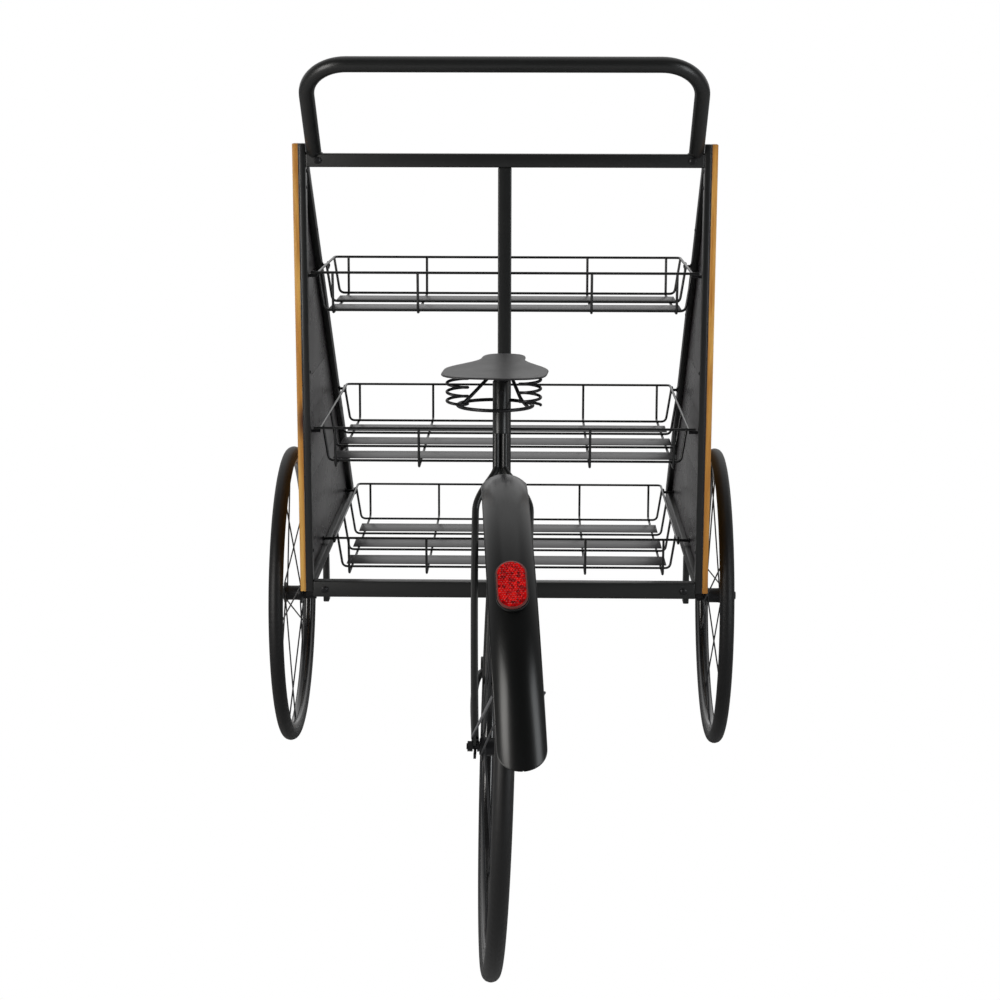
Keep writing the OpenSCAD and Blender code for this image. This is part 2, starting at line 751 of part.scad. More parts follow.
// The same frame for a single point
function on_fender(p) =
    let (z = p[2] + fender_rise, x = p[0] * cos(fender_lean) - z * sin(fender_lean),
        y = p[1] + fender_pivot_back - rear_axle_back)
    [x * cos(fender_skew) - y * sin(fender_skew) + fender_shift,
     x * sin(fender_skew) + y * cos(fender_skew) + rack_y - fender_pivot_back,
     rear_r + p[0] * sin(fender_lean) + z * cos(fender_lean)];

crown = 15;                           // height of the fender's rounded section
strut_angle = 27;                     // the struts meet the fender at this angle above the axle
crown_r = (fender_w * fender_w / 4 + crown * crown) / (2 * crown);
module fender_section() {
    difference() {
        translate([fender_r - crown_r, 0]) circle(r = crown_r, $fn = 96);
        translate([fender_r - crown_r, 0]) circle(r = crown_r - fender_t, $fn = 96);
        translate([-fender_r, -fender_r]) square([2 * fender_r - crown, 2 * fender_r]);
    }
}

module rear_fender() {
    sweep = 180 - fender_front_angle - fender_end_angle;
    color(paint) at_fender() rotate([90, 0, 90]) rotate([0, 0, fender_front_angle])
        rotate_extrude(angle = sweep, $fn = 128) fender_section();
}

// The reflector stands on the fender's crown, at this angle above the axle
reflector_angle = 49;
module at_reflector() {
    at_fender() rotate([90 - reflector_angle, 0, 0]) translate([0, 0, fender_r + 0.5])
        children();
}

module stadium(w, l, h) {
    linear_extrude(h) {
        square([w, l - w], center = true);
        for (s = [-1, 1]) translate([0, s * (l - w) / 2]) circle(d = w);
    }
}

module reflector_base() { color(paint) at_reflector() stadium(reflector_w, reflector_l, 4); }
module reflector_lens() {
    color(red) at_reflector() translate([0, 0, 4]) stadium(reflector_w - 3, reflector_l - 3, 5);
}

// --- saddle ----------------------------------------------------------------------------------

clamp_z = seat_tube_top + 3;          // underside of the saddle clamp
clamp_h = 8;
spring_x = 61;
spring_y = -58;
spring_low = saddle_z - 52;
saddle_rear = -104;                   // rear edge of the saddle behind the seat post
tip_y = -26;                          // the plate tips up about a line this far from the post
nose_y = saddle_rear + saddle_l - 30;
function plate_z(y) = saddle_z + (y - tip_y) * tan(saddle_tip);
rail_d = 6;
function rail_x(side) = side * 20 + saddle_shift;    // the rails pass both sides of the post
nose_z = plate_z(nose_y) - rail_d / 2 - clear;

module at_saddle() {
    translate([-saddle_shift, seat_y, 0]) rotate([0, 0, -saddle_turn]) children();
}

module seat_post() {
    low = seat_tube_top - 130;
    color(bright) translate([0, seat_y, low]) cylinder(h = clamp_z + clamp_h - low, d = post_d);
}

module seat_bolt() {
    color(bright) translate([0, seat_y - post_d / 2 - clear, seat_bolt_z]) {
        rotate([90, 0, 0]) cylinder(h = 8, d = 4.9);
        translate([0, -2.5, 0]) rotate([90, 0, 0]) cylinder(h = 6, d = 9, $fn = 6);
    }
}

// Half width of the saddle, as a share, at share s of its length from the rear edge: a round back,
// a waist eased down to the nose, and a blunt nose
back_end = 0.28;
waist_start = 0.33;
nose_start = 0.8;
nose_share = 0.43;
function saddle_half(s) =
    s < back_end ? pow(1 - pow(1 - s / back_end, 4), 0.31)
    : s < nose_start
        ? 1 - (1 - nose_share) * ease(max(0, (s - waist_start) / (nose_start - waist_start)))
    : nose_share * pow(1 - pow((s - nose_start) / (1 - nose_start), 3), 0.4);

module saddle_plate() {
    steps = 36;
    half = [for (i = [0 : steps]) let (s = (1 - cos(180 * i / steps)) / 2)
        [saddle_half(s) * saddle_w / 2, saddle_rear + s * saddle_l]];
    left = [for (i = [len(half) - 2 : -1 : 1]) [-half[i][0], half[i][1]]];
    color([0.2, 0.2, 0.21]) at_saddle() translate([0, tip_y, saddle_z]) rotate([saddle_tip, 0, 0])
        translate([0, -tip_y, 0]) linear_extrude(saddle_t) polygon(concat(half, left));
}

// One coil each side, standing between the saddle frame and the plate
module saddle_springs() {
    n = 20;
    height = plate_z(spring_y - spring_d / 2) - 1 - spring_low - spring_wire;
    color(bright) at_saddle() for (side = [-1, 1]) {
        path = [for (i = [0 : spring_turns * n])
            [side * spring_x + (spring_d - spring_wire) / 2 * cos(360 * i / n),
             spring_y + (spring_d - spring_wire) / 2 * sin(360 * i / n),
             spring_low + spring_wire / 2 + height * i / (spring_turns * n)]];
        swept_tube(path, spring_wire, function (p, i) [0, 0, 1], 8);
    }
}

// Wire frame under the saddle: two rails from the nose down to the springs, and a hoop round the
// seat tube that joins the feet of the springs
module saddle_frame() {
    foot_z = spring_low - rail_d / 2;
    color(bright) at_saddle() {
        rod([-14, nose_y, nose_z], [14, nose_y, nose_z], rail_d);
        for (side = [-1, 1])
            wire([[side * 14, nose_y, nose_z], [rail_x(side), 24, clamp_z + 4],
                [rail_x(side), -12, clamp_z + 4], [side * (spring_x - 16), spring_y + 12, foot_z + 11],
                [side * (spring_x - 4), spring_y + 4, foot_z + 1]], rail_d, [side, 0, 0.3], 8);
        // hoop, an oval round the tube
        swept_tube([for (i = [0 : 36]) let (a = i * 10 + 30)
            [(spring_x + 2) * cos(a), spring_y + 24 + 58 * sin(a), foot_z]],
            rail_d, function (p, i) [0, 0, 1], 8);
    }
}

module saddle_clamp() {
    color(bright) difference() {
        translate([0, seat_y, clamp_z]) rotate([0, 0, -saddle_turn]) translate([-26, -15, 0])
            cube([52, 30, clamp_h]);
        translate([0, seat_y, clamp_z - 20]) cylinder(h = 60, d = post_d);
        at_saddle() for (side = [-1, 1]) translate([rail_x(side), 0, clamp_z + 4])
            rotate([90, 0, 0]) cylinder(h = 60, d = rail_d + 1.6, center = true);
    }
}

// --- one module a node -----------------------------------------------------------------------

module left_rear_post() { rear_post(-1); }
module right_rear_post() { rear_post(1); }
module left_front_bar() { front_bar(-1); }
module right_front_bar() { front_bar(1); }
module left_bottom_bar() { bottom_bar(-1); }
module right_bottom_bar() { bottom_bar(1); }
module left_inner_panel() { inner_panel(-1); }
module right_inner_panel() { inner_panel(1); }
module left_timber_boards() { timber_boards(-1); }
module right_timber_boards() { timber_boards(1); }
module top_basket_wires() { basket_wires(top_basket); }
module top_basket_slats() { basket_slats(top_basket); }
module middle_basket_wires() { basket_wires(middle_basket); }
module middle_basket_slats() { basket_slats(middle_basket); }
module bottom_basket_wires() { basket_wires(bottom_basket); }
module bottom_basket_slats() { basket_slats(bottom_basket); }
module left_tyre() { at_front_wheel(-1) tyre(front_r); }
module left_rim() { at_front_wheel(-1) rim(front_r); }
module left_spokes() { at_front_wheel(-1) spokes(front_r, front_hub_w); }
module left_hub() { at_front_wheel(-1) hub(front_hub_w, axle_d, axle_d + 14); }
module right_tyre() { at_front_wheel(1) tyre(front_r); }
module right_rim() { at_front_wheel(1) rim(front_r); }
module right_spokes() { at_front_wheel(1) spokes(front_r, front_hub_w); }
module right_hub() { at_front_wheel(1) hub(front_hub_w, axle_d, axle_d + 14); }
module rear_tyre() { at_rear_wheel() tyre(rear_r); }
module rear_rim() { at_rear_wheel() rim(rear_r); }
module rear_spokes() { at_rear_wheel() spokes(rear_r, rear_hub_w); }
module rear_hub() { at_rear_wheel() hub(rear_hub_w, rear_axle_d, rear_axle_d + 18); }
module left_seat_stay() { seat_stay(-1); }
module right_seat_stay() { seat_stay(1); }
module left_chain_stay() { chain_stay(-1); }
module right_chain_stay() { chain_stay(1); }

left_rear_post();
right_rear_post();
left_front_bar();
right_front_bar();
left_bottom_bar();
right_bottom_bar();
axle_drops();
left_inner_panel();
right_inner_panel();
left_timber_boards();
right_timber_boards();
board_screws();
top_cross_tube();
bottom_cross_tube();
centre_post();
corner_tabs();
frame_bolts();
push_handle();
basket_pegs();
top_basket_wires();
top_basket_slats();
middle_basket_wires();
middle_basket_slats();
bottom_basket_wires();
bottom_basket_slats();
front_axle();
axle_collars();
axle_cap_nuts();
left_tyre();
left_rim();
left_spokes();
left_hub();
right_tyre();
right_rim();
right_spokes();
right_hub();
rear_tyre();
rear_rim();
rear_spokes();
rear_hub();
rear_axle();
rear_axle_nuts();
seat_tube();
upper_beam();
lower_beam();
left_seat_stay();
right_seat_stay();
left_chain_stay();
right_chain_stay();
fender_struts();
dropouts();
rear_fender();
reflector_base();
reflector_lens();
seat_post();
seat_bolt();
saddle_plate();
saddle_springs();
saddle_frame();
saddle_clamp();
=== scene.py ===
import json
import math

import bmesh
import bpy
import numpy as np
from mathutils import Matrix, Vector


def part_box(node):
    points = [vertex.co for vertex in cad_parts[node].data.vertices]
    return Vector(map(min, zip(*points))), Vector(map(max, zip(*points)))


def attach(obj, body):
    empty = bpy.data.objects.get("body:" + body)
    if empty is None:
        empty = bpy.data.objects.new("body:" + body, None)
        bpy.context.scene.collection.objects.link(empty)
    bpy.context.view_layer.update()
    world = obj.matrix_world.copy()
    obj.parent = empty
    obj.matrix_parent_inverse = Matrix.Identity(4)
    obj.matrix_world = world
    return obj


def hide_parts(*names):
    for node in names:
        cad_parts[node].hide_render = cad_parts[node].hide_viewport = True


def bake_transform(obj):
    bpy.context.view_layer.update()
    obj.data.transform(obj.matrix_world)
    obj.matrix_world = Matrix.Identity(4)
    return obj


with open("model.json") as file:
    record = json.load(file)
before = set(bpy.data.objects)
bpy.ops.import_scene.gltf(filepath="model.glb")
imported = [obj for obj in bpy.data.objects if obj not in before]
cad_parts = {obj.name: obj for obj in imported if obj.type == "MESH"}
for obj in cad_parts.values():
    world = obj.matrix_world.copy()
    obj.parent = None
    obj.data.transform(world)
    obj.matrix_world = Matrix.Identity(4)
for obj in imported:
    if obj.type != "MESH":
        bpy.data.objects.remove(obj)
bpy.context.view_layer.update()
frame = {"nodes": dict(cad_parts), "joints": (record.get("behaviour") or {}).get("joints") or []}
print("frame loaded")


# Every shape is a pair of vertices and faces, in metres.
# Quads over an m by n array of points, with corners (i, j), (i + 1, j), (i + 1, j + 1), (i, j + 1);
# wrapU joins the last row to the first, wrapV the last column
def grid(points, wrapU=False, wrapV=False, capEnds=False):
    points = np.asarray(points, float)
    m, n = points.shape[:2]
    i = np.arange(m if wrapU else m - 1)[:, None]
    j = np.arange(n if wrapV else n - 1)[None, :]
    near, far, beside = i * n, (i + 1) % m * n, (j + 1) % n
    faces = np.stack([near + j, far + j, far + beside, near + beside], -1).reshape(-1, 4).tolist()
    if capEnds:
        faces.append(list(range(n)))
        faces.append([(m - 1) * n + k for k in reversed(range(n))])
    return points.reshape(-1, 3), faces


# A path with its corners rounded: near corner b between a and c it follows
# (1 - t)^2 p + 2 t (1 - t) b + t^2 q, with p and q one run away from b
def rounded(path, run, steps=6):
    path = [np.array(p, float) for p in path]
    out = [path[0]]
    for a, b, c in zip(path, path[1:], path[2:]):
        p = b + run * (a - b) / np.linalg.norm(a - b)
        q = b + run * (c - b) / np.linalg.norm(c - b)
        for t in np.linspace(0, 1, steps):
            out.append((1 - t) ** 2 * p + 2 * t * (1 - t) * b + t * t * q)
    return np.array(out + [path[-1]])


# A round tube along a path; each ring is turned from the one before so that it never twists.
# With radius a number or one number a ring: c_i + r_i (cos a u_i + sin a w_i)
def tube(path, radius, sides=12, capEnds=True):
    path = np.asarray(path, float)
    tangents = np.gradient(path, axis=0)
    tangents /= np.linalg.norm(tangents, axis=1)[:, None]
    start = np.array([1.0, 0, 0]) if abs(tangents[0][0]) < 0.8 else np.array([0, 0, 1.0])
    u = start - tangents[0] * (start @ tangents[0])
    radii = np.broadcast_to(np.asarray(radius, float), len(path))
    angles = np.linspace(0, 2 * math.pi, sides, endpoint=False)
    rings = []
    for centre, t, r in zip(path, tangents, radii):
        u = u - t * (u @ t)
        u /= np.linalg.norm(u)
        w = np.cross(t, u)
        rings.append(centre + r * (np.outer(np.cos(angles), u) + np.outer(np.sin(angles), w)))
    return grid(np.array(rings), wrapV=True, capEnds=capEnds)


# A profile of (x, r) points turned round the X axis: (x, r cos a, r sin a)
def revolve(profile, steps=96, closed=True):
    profile = np.array(profile, float)
    a = np.linspace(0, 2 * math.pi, steps, endpoint=False)[:, None]
    x = np.broadcast_to(profile[:, 0], (steps, len(profile)))
    return grid(np.stack([x, profile[:, 1] * np.cos(a), profile[:, 1] * np.sin(a)], -1), True, closed)


# A solid between an outline and its copy, with its edges rounded over by edge
def prism(outline, step, edge=0.0008, rings=2):
    bm = bmesh.new()
    face = bm.faces.new([bm.verts.new(p) for p in outline])
    grown = bmesh.ops.extrude_face_region(bm, geom=[face])
    moved = [v for v in grown["geom"] if isinstance(v, bmesh.types.BMVert)]
    bmesh.ops.translate(bm, verts=moved, vec=step)
    bmesh.ops.recalc_face_normals(bm, faces=bm.faces)
    if edge:
        bmesh.ops.bevel(bm, geom=list(bm.edges), offset=edge, segments=rings, profile=0.5,
                        affect="EDGES", clamp_overlap=True)
    bm.verts.index_update()
    verts = np.array([v.co[:] for v in bm.verts])
    faces = [tuple(v.index for v in f.verts) for f in bm.faces]
    bm.free()
    return verts, faces


def block(lo, hi, edge=0.0008, rings=2):
    outline = [(lo[0], lo[1], lo[2]), (hi[0], lo[1], lo[2]), (hi[0], hi[1], lo[2]), (lo[0], hi[1], lo[2])]
    return prism(outline, (0, 0, hi[2] - lo[2]), edge, rings)


def placed(shape, matrix):
    verts, faces = shape
    m = np.array(matrix, float)
    return np.asarray(verts) @ m[:3, :3].T + m[:3, 3], faces


def mirrored(shape):
    verts, faces = shape
    return np.asarray(verts) * [-1, 1, 1], [tuple(reversed(f)) for f in faces]


# One object from several shapes. seeds gives each shape its own number for the materials to vary by
def build(name, shapes, surface, body, nodes=(), angle=35, seeds=None):
    verts, faces, marks, base = [], [], [], 0
    for i, (v, f) in enumerate(shapes):
        verts.append(np.asarray(v, float))
        faces += [tuple(k + base for k in face) for face in f]
        marks.append(np.full(len(v), seeds[i] if seeds else 0.0))
        base += len(v)
    mesh = bpy.data.meshes.new(name)
    mesh.from_pydata(np.concatenate(verts).tolist(), [], faces)
    mesh.attributes.new("seed", "FLOAT", "POINT").data.foreach_set("value", np.concatenate(marks))
    bm = bmesh.new()
    bm.from_mesh(mesh)
    bmesh.ops.recalc_face_normals(bm, faces=bm.faces)
    bm.to_mesh(mesh)
    bm.free()
    mesh.shade_smooth()
    mesh.set_sharp_from_angle(angle=math.radians(angle))
    mesh.materials.append(surface)
    piece = bpy.data.objects.new(name, mesh)
    bpy.context.scene.collection.objects.link(piece)
    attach(piece, body)
    if nodes:
        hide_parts(*nodes)
    return piece


# A colour given as 0 to 255 screen values, turned into scene values
def tone(r, g, b):
    return tuple((c / 255 / 12.92) if c < 10.3 else ((c / 255 + 0.055) / 1.055) ** 2.4
                 for c in (r, g, b)) + (1.0,)


def node(tree, kind, inputs=None, **settings):
    made = tree.nodes.new("ShaderNode" + kind)
    for key, value in settings.items():
        setattr(made, key, value)
    for key, value in (inputs or {}).items():
        if isinstance(value, bpy.types.NodeSocket):
            tree.links.new(value, made.inputs[key])
        else:
            made.inputs[key].default_value = value
    return made


def group(name, inputs, outputs):
    tree = bpy.data.node_groups.new(name, "ShaderNodeTree")
    for label, kind, value in inputs:
        socket = tree.interface.new_socket(label, in_out="INPUT", socket_type="NodeSocket" + kind)
        socket.default_value = value
    for label, kind in outputs:
        tree.interface.new_socket(label, in_out="OUTPUT", socket_type="NodeSocket" + kind)
    return tree, tree.nodes.new("NodeGroupInput").outputs, tree.nodes.new("NodeGroupOutput")


# Sprayed or rolled surface: fine texture in the normal and slow patches in the roughness
def makeSkin():
    tree, given, out = group("skin", [("Roughness", "Float", 0.4), ("Patches", "Float", 0.06),
                                      ("Scale", "Float", 900.0), ("Depth", "Float", 0.0001)],
                             [("Roughness", "Float"), ("Normal", "Vector")])
    where = node(tree, "TexCoord").outputs["Object"]
    fine = node(tree, "TexNoise", {"Vector": where, "Scale": given["Scale"], "Detail": 3.0})
    slow = node(tree, "TexNoise", {"Vector": where, "Scale": 14.0, "Detail": 5.0, "Roughness": 0.65})
    shift = node(tree, "Math", {0: slow.outputs["Fac"], 1: 0.5}, operation="SUBTRACT")
    patch = node(tree, "Math", {0: shift.outputs[0], 1: given["Patches"], 2: given["Roughness"]},
                 operation="MULTIPLY_ADD")
    bump = node(tree, "Bump", {"Strength": 1.0, "Distance": given["Depth"], "Height": fine.outputs["Fac"]})
    tree.links.new(patch.outputs[0], out.inputs["Roughness"])
    tree.links.new(bump.outputs["Normal"], out.inputs["Normal"])
    return tree


# Pale dust that settles on faces that look up, broken up by noise
def makeDust():
    tree, given, out = group("dust", [("Color", "Color", (0, 0, 0, 1)), ("Amount", "Float", 0.1)],
                             [("Color", "Color")])
    up = node(tree, "SeparateXYZ", {0: node(tree, "NewGeometry").outputs["Normal"]}).outputs["Z"]
    where = node(tree, "TexCoord").outputs["Object"]
    noise = node(tree, "TexNoise", {"Vector": where, "Scale": 38.0, "Detail": 8.0, "Roughness": 0.7})
    facing = node(tree, "MapRange", {0: up, 1: 0.2, 2: 1.0}).outputs[0]
    broken = node(tree, "MapRange", {0: noise.outputs["Fac"], 1: 0.35, 2: 0.75}).outputs[0]
    cover = node(tree, "Math", {0: facing, 1: broken}, operation="MULTIPLY").outputs[0]
    share = node(tree, "Math", {0: cover, 1: given["Amount"]}, operation="MULTIPLY").outputs[0]
    mix = node(tree, "Mix", {0: share, 6: given["Color"], 7: tone(168, 160, 150)}, data_type="RGBA")
    tree.links.new(mix.outputs[2], out.inputs["Color"])
    return tree


skin, dust = makeSkin(), makeDust()


def surface(name, color, rough, metallic=0.0, coat=0.0, patches=0.08, scale=900.0, depth=0.00001,
            dusty=0.03, level=0.5):
    made = bpy.data.materials.new(name)
    made.use_nodes = True
    tree = made.node_tree
    shader = tree.nodes["Principled BSDF"]
    shader.inputs["Base Color"].default_value = color
    shader.inputs["Metallic"].default_value = metallic
    shader.inputs["Specular IOR Level"].default_value = level
    shader.inputs["Coat Weight"].default_value = coat
    shader.inputs["Coat Roughness"].default_value = 0.12
    texture = node(tree, "Group", node_tree=skin)
    for key, value in (("Roughness", rough), ("Patches", patches), ("Scale", scale), ("Depth", depth)):
        texture.inputs[key].default_value = value
    tree.links.new(texture.outputs["Roughness"], shader.inputs["Roughness"])
    tree.links.new(texture.outputs["Normal"], shader.inputs["Normal"])
    if dusty:
        cover = node(tree, "Group", node_tree=dust)
        cover.inputs["Color"].default_value = color
        cover.inputs["Amount"].default_value = dusty
        tree.links.new(cover.outputs["Color"], shader.inputs["Base Color"])
    return made


# Oiled pine: grain stretched along the boards, growth rings, a few knots; each board differs by its seed
def makeTimber():
    made = bpy.data.materials.new("timber")
    made.use_nodes = True
    tree = made.node_tree
    shader = tree.nodes["Principled BSDF"]
    where = node(tree, "TexCoord").outputs["Object"]
    seed = node(tree, "Attribute", attribute_name="seed").outputs["Fac"]
    shift = node(tree, "CombineXYZ", {"X": seed, "Y": seed, "Z": seed}).outputs[0]
    moved = node(tree, "VectorMath", {0: where, 1: shift}, operation="ADD").outputs[0]
    along = node(tree, "Mapping", {"Vector": moved, "Scale": (26, 26, 1.5)}).outputs[0]
    fine = node(tree, "TexNoise", {"Vector": along, "Scale": 5.0, "Detail": 9.0, "Roughness": 0.62,
                                   "Distortion": 0.3})
    ringSpace = node(tree, "Mapping", {"Vector": moved, "Scale": (9, 5, 0.4)}).outputs[0]
    rings = node(tree, "TexWave", {"Vector": ringSpace, "Scale": 2.2, "Distortion": 7.0, "Detail": 3.0,
                                   "Detail Scale": 0.7}, wave_type="BANDS", bands_direction="DIAGONAL")
    knotSpace = node(tree, "Mapping", {"Vector": moved, "Scale": (7.5, 7.5, 3.0)}).outputs[0]
    knots = node(tree, "TexVoronoi", {"Vector": knotSpace, "Scale": 1.0, "Randomness": 1.0})
    knot = node(tree, "MapRange", {0: knots.outputs["Distance"], 1: 0.07, 2: 0.15, 3: 1.0, 4: 0.0})
    palette = node(tree, "ValToRGB", {0: rings.outputs["Fac"]})
    palette.color_ramp.elements[0].color = tone(*wood["pale"])
    palette.color_ramp.elements[1].color = tone(*wood["ring"])
    palette.color_ramp.elements[1].position = 0.92
    grain = node(tree, "MapRange", {0: fine.outputs["Fac"], 1: 0.4, 2: 0.68}).outputs[0]
    grained = node(tree, "Mix", {0: grain, 6: palette.outputs[0], 7: tone(*wood["grain"])}, data_type="RGBA")
    seen = node(tree, "Mix", {0: knot.outputs[0], 6: grained.outputs[2], 7: tone(*wood["knot"])},
                data_type="RGBA")
    tint = node(tree, "MapRange", {0: node(tree, "Math", {0: seed, 1: 1.0}, operation="FRACT").outputs[0],
                                   3: 0.9, 4: 1.1})
    final = node(tree, "HueSaturation", {"Value": tint.outputs[0], "Color": seen.outputs[2]})
    tree.links.new(final.outputs[0], shader.inputs["Base Color"])
    bump = node(tree, "Bump", {"Strength": 0.5, "Distance": 0.0004, "Height": fine.outputs["Fac"]})
    tree.links.new(bump.outputs["Normal"], shader.inputs["Normal"])
    shader.inputs["Roughness"].default_value = 0.46
    return made


# Moulded lens with painted reflection: each prism's red is set at random from dark to bright, bright in a
# few and dark in most, as painted glints standing in for the light the prisms throw back
def makeLens():
    made = bpy.data.materials.new("lensRedPaintedGlints")
    made.use_nodes = True
    tree = made.node_tree
    shader = tree.nodes["Principled BSDF"]
    where = node(tree, "TexCoord").outputs["Object"]
    cells = node(tree, "TexVoronoi", {"Vector": where, "Scale": 260.0, "Randomness": 0.7})
    level = node(tree, "SeparateXYZ", {0: cells.outputs["Color"]}).outputs["X"]
    # painted glints: the dark to bright reds per prism cell stand in for reflected light, not the lens's own
    # colour
    palette = node(tree, "ValToRGB", {0: level})
    palette.color_ramp.elements[0].color = tone(104, 2, 6)
    palette.color_ramp.elements[1].color = tone(244, 26, 22)
    palette.color_ramp.elements.new(0.45).color = tone(196, 8, 14)
    tree.links.new(palette.outputs[0], shader.inputs["Base Color"])
    shader.inputs["Roughness"].default_value = 0.12
    shader.inputs["Specular IOR Level"].default_value = 0.3
    return made


wood = {"pale": (232, 180, 92), "ring": (206, 142, 58), "grain": (184, 120, 46), "knot": (84, 44, 18)}
timber = makeTimber()
paint = surface("framePaint", tone(22, 23, 23), 0.36, coat=0.1)
sheet = surface("panelSheet", tone(42, 38, 41), 0.28, patches=0.1, scale=300, level=0.9)
wirePaint = surface("wirePaint", tone(18, 19, 20), 0.3, coat=0.2)
slatPaint = surface("slatPaint", tone(44, 42, 46), 0.34)
gloss = surface("rimPaint", tone(18, 18, 19), 0.2, coat=0.5)
spokeSteel = surface("spokeSteel", tone(44, 45, 47), 0.34, metallic=0.5)
hardware = surface("hardware", tone(34, 34, 36), 0.36, metallic=0.5)
strutSteel = surface("strutSteel", tone(120, 120, 124), 0.3, metallic=0.8)
fenderPaint = surface("fenderPaint", tone(12, 13, 13), 0.29, coat=0.05, scale=500, depth=0.000004,
                      dusty=0, level=0.38)
rubber = surface("tyreRubber", tone(17, 17, 18), 0.5, scale=1600, depth=0.00002, dusty=0, level=0.4)
saddlePaint = surface("saddlePaint", tone(36, 36, 38), 0.34, patches=0.14, dusty=0.05)
lensRedPaintedGlints = makeLens()
lensRim = surface("lensRim", tone(120, 60, 56), 0.3, dusty=0.0)
print("materials ready")


rack = {"barDepth": 0.025, "boardThickness": 0.011, "boardWidth": 0.1,
        "panelThickness": 0.0015, "panelHeight": 0.2, "joint": 0.0008, "tip": 0.02,
        "edge": 0.0018, "screwHeights": (1.19, 1.16, 0.814, 0.467),
        "screwShares": (0.2, 0.42, 0.7, 0.86), "screw": 0.0036, "screwRise": 0.0018}
postLo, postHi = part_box("right_rear_post")
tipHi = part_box("right_bottom_bar")[1]
rackY, low, top = postLo.y, postLo.z, postHi.z
barX, panelX = postLo.x, postHi.x
timberX = panelX + rack["panelThickness"]
frontTop = (rackY + rack["barDepth"], top)
frontTip = (tipHi.y, low + rack["tip"])
slope = (frontTip[0] - frontTop[0]) / (frontTop[1] - frontTip[1])
barRun = rack["barDepth"] * math.hypot(1, slope)


def frontY(z):
    return frontTop[0] + (frontTop[1] - z) * slope


def acrossX(outline, x0, x1, edge=0.0008):
    return prism([(x0, y, z) for y, z in outline], (x1 - x0, 0, 0), edge)


# The part of a YZ outline between two levels of its axis k, cut one level after the other
def between(outline, k, first, last):
    for level, keep in ((first, 1), (last, -1)):
        cut = []
        for a, b in zip(outline, outline[1:] + outline[:1]):
            ina, inb = (a[k] - level) * keep >= -1e-9, (b[k] - level) * keep >= -1e-9
            if ina:
                cut.append(a)
            if ina != inb:
                t = (level - a[k]) / (b[k] - a[k])
                cut.append((a[0] + (b[0] - a[0]) * t, a[1] + (b[1] - a[1]) * t))
        outline = [p for i, p in enumerate(cut) if math.dist(p, cut[i - 1]) > 1e-6]
    return outline


def makeRack():
    depth, edge = rack["barDepth"], rack["edge"]
    floor = low + depth
    bars = {
        "rear_post": [(rackY, low), (rackY + depth, low), (rackY + depth, top), (rackY, top)],
        "front_bar": [frontTop, (frontY(floor), floor), (frontY(floor) - barRun, floor),
                      (frontTop[0], top - barRun / slope)],
        "bottom_bar": [(frontTop[0], low), (frontTip[0], low), frontTip, (frontY(floor), floor),
                       (frontTop[0], floor)],
    }
    side = [(rackY, low), (frontTip[0], low), frontTip, frontTop, (rackY, top)]
    for name, sign in (("left", -1), ("right", 1)):
        for part, outline in bars.items():
            shape = acrossX(outline, sign * barX, sign * panelX, edge if part != "front_bar" else 0.0012)
            build(name + "_" + part + "_shell", [shape], paint, "root", [name + "_" + part])
        for part, x, thick, course, k, skinMat, slotName in (
                ("timber_boards", timberX, rack["boardThickness"], rack["boardWidth"], 0, timber, "timber"),
                ("inner_panel", panelX, rack["panelThickness"], rack["panelHeight"], 1, sheet, "panel")):
            shapes, half = [], rack["joint"] / 2
            start, stop = min(p[k] for p in side), max(p[k] for p in side)
            while start < stop - 0.001:
                outline = between(side, k, start + half, min(start + course - half, stop))
                shapes.append(acrossX(outline, sign * x, sign * (x + thick),
                                      0.0014 if part == "timber_boards" else 0.0003))
                start += course
            seeds = [1.37 * (i + 1) + (0.61 if sign > 0 else 0) for i in range(len(shapes))]
            build(name + "_" + part + "_shell", shapes, skinMat, "root", [name + "_" + part],
                  seeds=seeds)
    dropLo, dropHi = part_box("axle_drops")
    shapes = []
    for sign in (-1, 1):
        a, b = sorted((sign * barX, sign * panelX))
        shapes.append(block((a, dropLo.y, dropLo.z), (b, dropHi.y, dropHi.z), edge))
    build("axle_drop_shells", shapes, paint, "root", ["axle_drops"])
    for part in ("top_cross_tube", "bottom_cross_tube", "centre_post"):
        lo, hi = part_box(part)
        build(part + "_shell", [block(lo, hi, 0.0024, 3)], paint, "root", [part])
    for part in ("upper_beam", "lower_beam"):
        lo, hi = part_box(part)
        build(part + "_shell", [block(lo, hi, 0.002)], paint, "root", [part])


makeRack()


# Domed screw heads on the inner faces of the bars
def screwHead(radius, height):
    profile = [(0, radius), (-height * 0.35, radius * 0.98), (-height * 0.7, radius * 0.8),
               (-height * 0.95, radius * 0.5), (-height, radius * 0.02)]
    return revolve(profile, 20, closed=False)


def makeScrews():
    shapes = []
    spots = [(rackY + rack["barDepth"] / 2, z) for z in rack["screwHeights"]]
    spots += [(frontY(z) - barRun / 2, z) for z in (top - s * (top - low) for s in rack["screwShares"])]
    for y, z in spots:
        head = placed(screwHead(rack["screw"], rack["screwRise"]), Matrix.Translation((barX, y, z)))
        shapes += [head, mirrored(head)]
    build("board_screw_heads", shapes, hardware, "root", ["board_screws"])


makeScrews()
print("rack built")


handle = {"radius": 0.014, "inset": 0.015, "rise": 0.16, "lean": 0.158, "bend": 0.076,
          "footBack": 0.012, "sunk": 0.012, "weld": 0.0017, "weldGap": 0.0007, "weldShare": 0.83}


